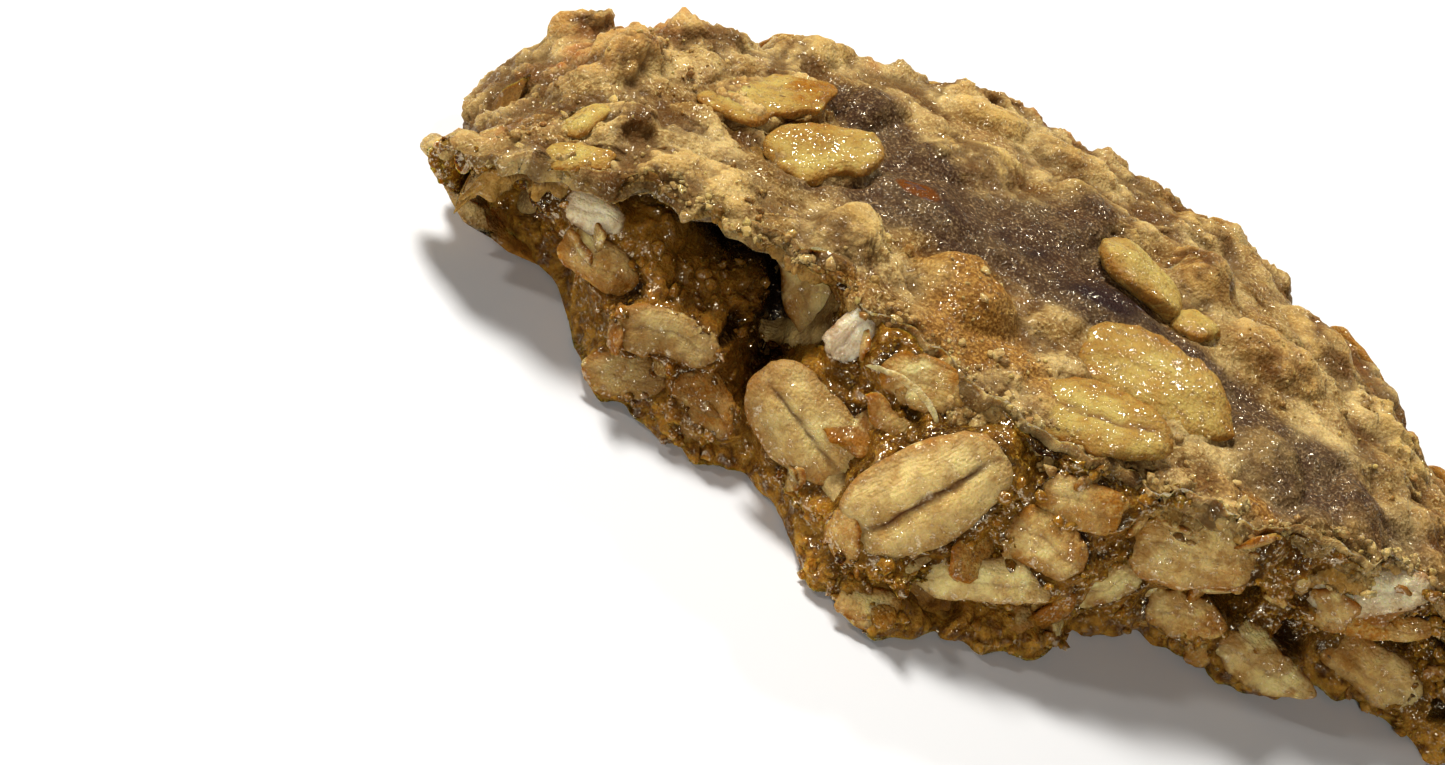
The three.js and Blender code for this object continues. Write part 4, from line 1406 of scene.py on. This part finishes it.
def flake(length, width, thick, seed, steps=34, around=30, crease=1.0, rag=0.06):
    """Points of one flake about its own middle, its UV map and its marks. The half width
    follows a rounded power of the way along, the section a squashed circle."""
    t, v = ball_steps(steps, around)
    half = np.sqrt(1 - np.abs(t) ** 2.8) * (1 - 0.12 * t)
    x = t * length / 2 + 0 * v
    across = half * np.cos(v)
    y = across * width / 2
    z = np.sqrt(1 - t**4) * thick / 2 * np.sign(np.sin(v)) * np.abs(np.sin(v)) ** 0.7
    off_crease = across - 0.1 * np.sin(3 * t + seed)
    groove = np.exp(-((off_crease / 0.07) ** 2)) * ease(1 - np.abs(t), 0.05, 0.4)
    upper = ease(np.sin(v) + 0 * t, -0.1, 0.3)
    lobes = 0.16 * np.sin(np.pi * np.clip(1.25 * np.abs(off_crease), 0, 1)) ** 0.8
    z = z + upper * thick * half * crease * (lobes - 0.15 * groove)
    p = np.stack([x, y, z], -1)
    own = seed * np.array([37.1, 11.3, 5.7])
    bend = 0.9 * (draw(seed + 0.15) - 0.5) * (t**2 - 0.4)
    p[..., 2] += 0.2 * thick * rough(p + own, 2.4, 4, 5) + bend
    for axis in (1, 0):
        p[..., axis] += rag * length * rough(p + own, 0.32 * length, 4, 7 - axis)
    points = closed(p)
    points[0, 0] += TIP
    points[-1, 0] -= TIP
    uv = np.stack(np.broadcast_arrays(x, y), -1).reshape(-1, 2) / UV_SIZE
    outline = np.maximum(np.abs(np.cos(v)) ** 3, np.abs(t) ** 3)
    marks = {
        "crease": np.concatenate([[0], (crease * groove * upper).ravel(), [0]]),
        "edge": np.concatenate([[1], outline.ravel(), [1]]),
    }
    return points, np.concatenate([[[0, 0]], uv, [[0, 0]]]), marks


print("one flake:", len(flake(10, 6, 1, 0)[0]), "points")

# %% Laying and joining flakes
def settle(points, at, way_out, turn, along=ALONG_BREAK):
    """Lays a flake at a point: its own axes become those of flake_axes."""
    return at + points @ flake_axes(way_out, turn, along)


def patchy(placed, toast):
    """Toasting of a flake: its own share, uneven by a slow noise."""
    return np.clip(toast + (0.4 + 1.5 * abs(toast)) * rough(placed, 3.5, 3, 8), 0, 1)


def join(name, parts, steps, around):
    """Joins flakes of one grid into a piece with a fine relief. Each part is its points, UV
    map and marks; a mark that is one number holds for the whole flake."""
    size = len(parts[0][0])
    faces = repeated(band_faces(steps, around), len(parts), size)
    points, uv = (np.concatenate([part[k] for part in parts]) for k in (0, 1))
    marks = {
        key: np.concatenate([np.broadcast_to(part[2][key], size) for part in parts])
        for key in parts[0][2]
    }
    # painted shade on flakes round and below the cavity
    marks["shade_below_cavity"] = shade_below_cavity_at(points)
    points += (0.1 * rough(points, 0.9, 3, 61))[:, None] * outward(points, faces[0])
    points[:, 2] = np.maximum(points[:, 2], FLOOR_GAP)
    return make_piece(name, points, faces, OATS, marks, uv)


print("a flat flake's own axes, as rows:", flake_axes((0, 0, 1), 0).round(1).tolist())

# %% [markdown]
# ## Flakes on the top, in the break and in the rim
#
# Bare flakes stand out of all three. Blender could shrinkwrap them onto the dough, but then
# they would bend with every lump. Each is laid in a plane instead: on the top across the way
# out of the dome, in the break facing the viewer, and in the rim along it, high and low in turn.

# %% Flakes on the top
def top_outward(x, y, d=0.5):
    """The way out of the top: its slope both ways over 2 d, and up."""
    dx = (top_height(x + d, y) - top_height(x - d, y)) / (2 * d)
    dy = (top_height(x, y + d) - top_height(x, y - d)) / (2 * d)
    return np.array([-dx, -dy, 1.0])


def oats_on_top():
    """The bare ones of the top, leaning a little out of its slope."""
    parts = []
    for k, (x, y, length, width, turn, proud, film, toast) in enumerate(TOP_OATS):
        if film > BARE:
            continue
        thick = flake_thickness(width, proud)
        crease = 0.8 if k == RIDGED else 0.12
        points, uv, marks = flake(length, width, thick, k, 36, 56, crease, 0.11)
        at = np.array([x, y, top_height(x, y) + 0.4 * proud - SUNK])
        lean = 0.2 * np.array([draw(k + 0.27) - 0.5, draw(k + 0.57) - 0.5, 0])
        placed = settle(points, at, top_outward(x, y) + lean, turn)
        marks.update(toast=patchy(placed, toast), wet=0.5, glaze=1.0, white=max(-toast, 0))
        parts.append((placed, uv, marks))
    return join("oats_on_top", parts, 36, 56)


oats_on_top()

# %% Flakes in the break
def oats_in_break():
    """All facing the same way out; the ones that stand less proud are wetter."""
    parts = []
    for k, (x, z, length, width, turn, proud, toast) in enumerate(FACE_OATS):
        thick = flake_thickness(width, proud)
        crease, rag = GROOVED.get(k, 0.3), 0.05 if k in GROOVED else 0.1
        points, uv, marks = flake(length, width, thick, k + 50, 40, 68, crease, rag)
        placed = settle(points, face_place(x, z, proud), FACE_OUTWARD, turn)
        wet = 0.6 if proud > 0.85 else 0.9
        marks.update(toast=patchy(placed, toast), wet=wet, white=max(-toast, 0))
        parts.append((placed, uv, marks))
    return join("oats_in_break", parts, 40, 68)


oats_in_break()

# %% Flakes in the rim
# how deep they are sunk in the rim, how much the high ones face up, and the lowest middle
RIM_SUNK = 0.5
RIM_TILT = 25.0
RIM_LOWEST = 3.4


def oats_in_rim():
    """One flake every few millimetres along the rim, clear of the raisin, facing out and the
    more up the higher it lies."""
    parts = []
    for s in np.arange(OAT_SPACING, RIM_LENGTH - 2 * OAT_SPACING, 0.85 * OAT_SPACING):
        seed = int(s + 0.5)
        share = 0.3 + 0.4 * (len(parts) % 2) + 0.1 * draw(seed)
        x, y, z = wall(np.array([BREAK_LENGTH + s]), np.array([share]))[0]
        if np.hypot(x - RAISINS[2][1], y - RAISINS[2][2]) < OAT_SPACING:
            continue
        length = OAT_LENGTH * (0.75 + 0.35 * draw(seed + 0.5))
        width = OAT_SLIM * length
        points, uv, marks = flake(length, width, flake_thickness(width, 0.4), seed, 24, 22, 0.3)
        sunk = 1 - RIM_SUNK / RADIUS
        at = np.array([x * sunk, y * sunk, max(z, RIM_LOWEST)])
        way_out, along = (*at[:2], RIM_TILT * share), (at[1], -at[0], 0)
        placed = settle(points, at, way_out, 40 * draw(seed + 0.9) - 20, along)
        marks.update(toast=0.2 + 0.6 * draw(seed + 0.4), wet=0.3, glaze=0.8)
        parts.append((placed, uv, marks))
    return join("oats_in_rim", parts, 24, 22)


oats_in_rim()

# %% [markdown]
# ## Torn bits
#
# A break is never clean: scraps of flake and dough stand out of it at all angles. A particle
# system could scatter them, but then they would lie on the mesh's faces without their own wear.
# Here they are small flakes, leaning at random out of random points of the break.

# %% Scraps in the break
# how many, between which ends in x, and from what height up
SCRAPS = 60
SCRAP_ENDS = (-33, 44)
SCRAPS_FROM = 1.6


def scraps():
    """Small thin flakes, each with its middle on a point of the break; most are short,
    because their length follows the square of a random number."""
    x, z = side_points[:, 0], side_points[:, 2]
    shown = (side_front > 0) & (z > SCRAPS_FROM) & (x > SCRAP_ENDS[0]) & (x < SCRAP_ENDS[1])
    spots = np.flatnonzero(shown)
    parts = []
    for k in range(SCRAPS):
        i = spots[int(draw(k + 0.21) * len(spots))]
        length = 1.8 + 4 * draw(k + 0.37) ** 2
        width = length * (0.45 + 0.4 * draw(k + 0.53))
        thick = 0.3 + 0.08 * length
        points, uv, marks = flake(length, width, thick, k + 90, 18, 18, crease=0, rag=0.2)
        lean = 0.8 * np.array([draw(k + 0.11), draw(k + 0.41), draw(k + 0.91)]) - 0.4
        placed = settle(points, side_points[i], side_outward[i] + lean, 360 * draw(k + 0.67))
        marks.update(toast=draw(k + 0.71), wet=1.0)
        marks["edge"] = np.maximum(marks["edge"], 0.9 * draw(k + 0.83))
        parts.append((placed, uv, marks))
    return join("scraps", parts, 18, 18)


scraps()

# %% [markdown]
# ## A loose husk
#
# Now and then the papery skin of an oat comes off and curls over. A curve object with a bevel
# would make such a strip, but not its cupped section. So it is rings along a curve through four
# places, narrow at both ends.

# %% A loose husk
# the four places, and how wide and how thick the strip is
HUSK_LINE = np.array([(-9.4, -1.3, 13.4), (-7.2, -2.1, 14.9), (-4.6, -3.0, 14.8), (-3.0, -3.6, 12.9)])
HUSK_WIDTH = 0.5
HUSK_THICK = 0.2


def husk(steps=48, around=14):
    """A strip along a curve pulled by four places (Bernstein's sums), its section an oval
    bent by the square of the way across."""
    t = np.linspace(0, 1, steps)[:, None]
    weights = np.hstack([(1 - t) ** 3, 3 * t * (1 - t) ** 2, 3 * t**2 * (1 - t), t**3])
    line = weights @ HUSK_LINE
    ahead = np.gradient(line, axis=0)
    ahead /= np.linalg.norm(ahead, axis=1, keepdims=True)
    aside = np.cross(ahead, FACE_OUTWARD)
    aside /= np.linalg.norm(aside, axis=1, keepdims=True)
    lift = np.cross(aside, ahead)
    v = 2 * np.pi * np.arange(around) / around
    taper = np.sqrt(1 - (2 * t - 1) ** 4 * 0.98)
    a = taper * HUSK_WIDTH / 2 * np.cos(v)
    b = HUSK_THICK / 2 * np.sin(v) + 0.5 * a**2
    rings = line[:, None] + a[..., None] * aside[:, None] + b[..., None] * lift[:, None]
    rings += 0.12 * wander(rings, 1.2, 3, 81)
    marks = {"toast": 0.0, "wet": 1.0, "edge": 0.15, "white": 0.2, "crease": 0.0}
    points = closed(rings)
    return join("husk", [(points, np.zeros((len(points), 2)), marks)], steps, around)


husk()

# %% [markdown]
# ## Crumbs
#
# Crumbs stick to everything. Instances of one crumb would be light, but would all be alike. So
# one nugget of a few dozen faces is stretched, dented and turned its own way for each of them;
# worked out for all at once, as arrays, that takes a moment.

# %% Nuggets
NUGGET_STEPS, NUGGET_AROUND = 4, 6
# how far a nugget's middle stands out of the dough, as a share of its size
NUGGET_LIFT = 0.35


def turns(count, seed):
    """Random rotations: each a matrix made of two random ways, squared up."""
    k = np.arange(count) + seed
    first, second = (
        np.stack([draw(k + 0.13 * j + 0.31 * axis) - 0.5 for axis in range(3)], -1) for j in (1, 2)
    )
    a = first / np.linalg.norm(first, axis=1, keepdims=True)
    b = np.cross(a, second)
    b /= np.linalg.norm(b, axis=1, keepdims=True)
    return np.stack([a, b, np.cross(a, b)], axis=1)


def crumbs(name, places, ways_out, sizes, finish, seed):
    """One closed nugget at each place: a ball dented by noise, stretched, turned and half
    sunk. Each has one random tone, which sets its marks."""
    ball = closed(unit_ball(NUGGET_STEPS, NUGGET_AROUND))
    ball[0], ball[-1] = (1, 0, 0), (-1, 0, 0)
    k = np.arange(len(places))
    dents = 1 + 0.45 * noise(ball * 1.6 + k[:, None, None] * 7.7, 1.0, seed)
    stretch = 0.6 + 0.8 * np.stack([draw(k + seed + 0.17 * j) for j in range(3)], -1)
    shaped = ball * dents[..., None] * (stretch * sizes[:, None])[:, None]
    middles = places + NUGGET_LIFT * sizes[:, None] * ways_out
    points = (shaped @ turns(len(places), seed) + middles[:, None]).reshape(-1, 3)
    points[:, 2] = np.maximum(points[:, 2], FLOOR_GAP)
    faces = repeated(band_faces(NUGGET_STEPS, NUGGET_AROUND), len(places), len(ball))
    x, y, z = points.T
    tone = np.repeat(draw(k + seed + 0.77), len(ball))
    marks = {
        # some crumbs get a darker tone at random
        "shade_and_dark_tone": 0.6 * ease(tone, 0.7, 1.0),
        "crumb": ease(tone, 0.9, 0.3),
        "pale": ease(tone, 0.4, 0.0),
        "toast": 0.25 * ease(np.abs(tone - 0.5), 0.3, 0.0),
        "under": 0.9 * ease(z, 3.5, 1.0),
        "stain": 0.4 * stain_at(points),
        # painted shade on crumbs round and below the cavity
        "shade_below_cavity": shade_below_cavity_at(points),
        # painted shade on crumbs in the cavity
        "cavity_shade": ease(y - broken_edge(x), 3, 8) * ease(z, 4.5, 7) * (finish is INSIDE),
    }
    return make_piece(name, points, faces, finish, marks)


print("one nugget:", sum(map(len, band_faces(NUGGET_STEPS, NUGGET_AROUND))), "faces")

# %% Crumbs on the break
def break_crumbs(count=1200, seed=3):
    """Crumbs on the break: most of them on its crumbly lumps, the rest anywhere. Nearly all
    are fine, because their size follows a high power of a random number."""
    spots = np.flatnonzero((side_front > 0) & (side_points[:, 2] > 0.9))
    lumpy = np.flatnonzero((side_front > 0) & (side_torn > 0.6))
    k = np.arange(count)
    anywhere = spots[(draw(k + 0.29) * len(spots)).astype(int)]
    on_lumps = lumpy[(draw(k + 0.23) * len(lumpy)).astype(int)]
    i = np.where(draw(k + 0.63) < 0.85, on_lumps, anywhere)
    sizes = 0.12 + 0.45 * draw(k + 0.47) ** 4
    return crumbs("break_crumbs", side_points[i], side_outward[i], sizes, INSIDE, seed)


break_crumbs()

# %% Crumbs on the top
def top_crumbs(count=1500, seed=5):
    """Crumbs on the front of the crust, many of them on its lip."""
    spots = np.flatnonzero((crust_up > 0.5) & (stain_at(crust_points) < 0.25))
    lip = np.flatnonzero(crust_lip > 0.5)
    k = np.arange(count)
    anywhere = spots[(draw(k + 0.59) * len(spots)).astype(int)]
    on_lip = lip[(draw(k + 0.87) * len(lip)).astype(int)]
    i = np.where(ease(draw(k + 0.33), 0.25, 0.3) > 0.5, on_lip, anywhere)
    sizes = 0.12 + 0.35 * draw(k + 0.19) ** 5
    return crumbs("top_crumbs", crust_points[i], crust_outward[i], sizes, CRUST, seed)


top_crumbs()

# %% [markdown]
# ## Raisins
#
# A raisin is a grape that shrank in its own skin. It could be an egg with a displacement map,
# but the folds are deep and run lengthways. So the egg's radius is worked out instead: it
# follows ridges that wander round it, sharp in the valleys and round on the crests.

# %% Wrinkled raisins
def raisin(name, cx, cy, cz, length, width, height, turn, steps=70, around=90):
    """An egg whose radius is cut by the sharp valleys of a folded noise, three times as long
    as they are wide."""
    unit = unit_ball(steps, around)
    stretched = unit * (1.6, 4.5, 4.5) + (cx, cy, 0)
    valley = 0.7 * np.abs(noise(stretched, 1.3, 71)) + 0.3 * np.abs(noise(stretched, 0.6, 72))
    fold = 0.93 + 0.1 * ease(valley, 0.0, 0.5) + 0.03 * rough(stretched, 0.8, 2, 73)
    points = closed(unit * fold[..., None] * (length / 2, width / 2, height / 2))
    x, y, z = points.T
    c, s = np.cos(np.radians(turn)), np.sin(np.radians(turn))
    placed = np.stack([x * c - y * s + cx, x * s + y * c + cy, z + cz], -1)
    piece = make_piece(f"{name}_wrinkled", placed, band_faces(steps, around), RAISIN_SKIN)
    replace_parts(piece, name)


for *egg, _ in RAISINS:
    raisin(*egg)

# %% [markdown]
# ## The light
#
# Light from a window is large, soft and comes from above. A picture of a sky could stand in for
# it, but soft boxes can be placed: a large one above for the shadows, a small one behind that
# draws glints along the top, one at the left for the cavity's lip, and a weak one in front for
# the broken side. The world adds just enough to keep the shadows from going black.

# %% The studio
LOOKED_AT = Vector((0, 0.01, 0.01))
WORLD_COLOUR, WORLD_STRENGTH = (1, 0.98, 0.95, 1), 0.035

# the boxes in metres and watts: name, place, side, power
BOXES = [
    ("box_above", (-0.24, 0.17, 0.46), 0.11, 3.25),
    ("box_behind", (0.16, 0.36, 0.34), 0.04, 0.9),
    ("box_left", (-0.42, -0.1, 0.34), 0.04, 0.45),
    ("box_front", (-0.02, -0.48, 0.28), 0.045, 0.8),
]


def soft_box(name, place, size, power):
    """A square area light that looks at the cookie's middle."""
    light = bpy.data.lights.new(name, "AREA")
    light.size = size
    light.energy = power
    box = bpy.data.objects.new(name, light)
    box.location = place
    box.rotation_mode = "QUATERNION"
    box.rotation_quaternion = (LOOKED_AT - box.location).to_track_quat("-Z", "Y")
    bpy.context.scene.collection.objects.link(box)


for row in BOXES:
    soft_box(*row)

world = bpy.data.worlds.new("studio")
world.use_nodes = True
background = world.node_tree.nodes["Background"].inputs
background["Color"].default_value = WORLD_COLOUR
background["Strength"].default_value = WORLD_STRENGTH
bpy.context.scene.world = world
bpy.context.scene.view_settings.view_transform = "Standard"
print(len(BOXES), "soft boxes,", sum(row[3] for row in BOXES), "watts in all")

# %% [markdown]
# ## The floor
#
# The cookie lies on something pale and plain. One square face does for it, so large that its
# edges stay out of sight, and a little below the cookie so that the two don't cut each other.

# %% The floor
FLOOR_HALF = 1.5
FLOOR_HEIGHT = -0.0003
floor_corners = [(-1, -1), (1, -1), (1, 1), (-1, 1)]
floor_points = [(FLOOR_HALF * x, FLOOR_HALF * y, FLOOR_HEIGHT) for x, y in floor_corners]
floor_mesh = bpy.data.meshes.new("floor")
floor_mesh.from_pydata(floor_points, [], [(0, 1, 2, 3)])
floor = bpy.data.objects.new("floor", floor_mesh)
bpy.context.scene.collection.objects.link(floor)
floor_finish = Finish("pale floor")
floor_mesh.materials.append(floor_finish.shade(Base_Color=(0.84, 0.83, 0.81, 1), Roughness=0.7))
print("floor:", 2 * FLOOR_HALF, "m each way")

# %% [markdown]
# ## The camera
#
# The viewer looks down on the half, turned about the line of sight. A Track To constraint would
# aim a camera, but it would also keep it upright. So the camera's own axes are worked out from
# three angles, in degrees: round from the front, up, and the roll.

# %% The camera
AZIMUTH, ELEVATION, ROLL = np.radians((-8.35, 38.0, 29.82))
CAMERA_PLACE = (-0.0398, -0.1505, 0.1243)
LENS = 64.775
CLIP_START = 0.01


def camera_turn():
    """A matrix of the camera's own axes: the way back from azimuth and elevation, then the
    level axis and the one above it, turned by the roll."""
    a, e, r = AZIMUTH, ELEVATION, ROLL
    back = np.array([np.sin(a) * np.cos(e), -np.cos(a) * np.cos(e), np.sin(e)])
    level = np.array([np.cos(a), np.sin(a), 0])
    up = np.cross(back, level)
    right = np.cos(r) * level + np.sin(r) * up
    return Matrix(np.stack([right, np.cross(back, right), back], axis=1).tolist())


camera = bpy.data.objects.new("camera", bpy.data.cameras.new("camera"))
camera.data.lens = LENS
camera.data.clip_start = CLIP_START
camera.matrix_world = Matrix.Translation(CAMERA_PLACE) @ camera_turn().to_4x4()
bpy.context.scene.collection.objects.link(camera)
bpy.context.scene.camera = camera
print("camera:", LENS, "mm lens at", CAMERA_PLACE)
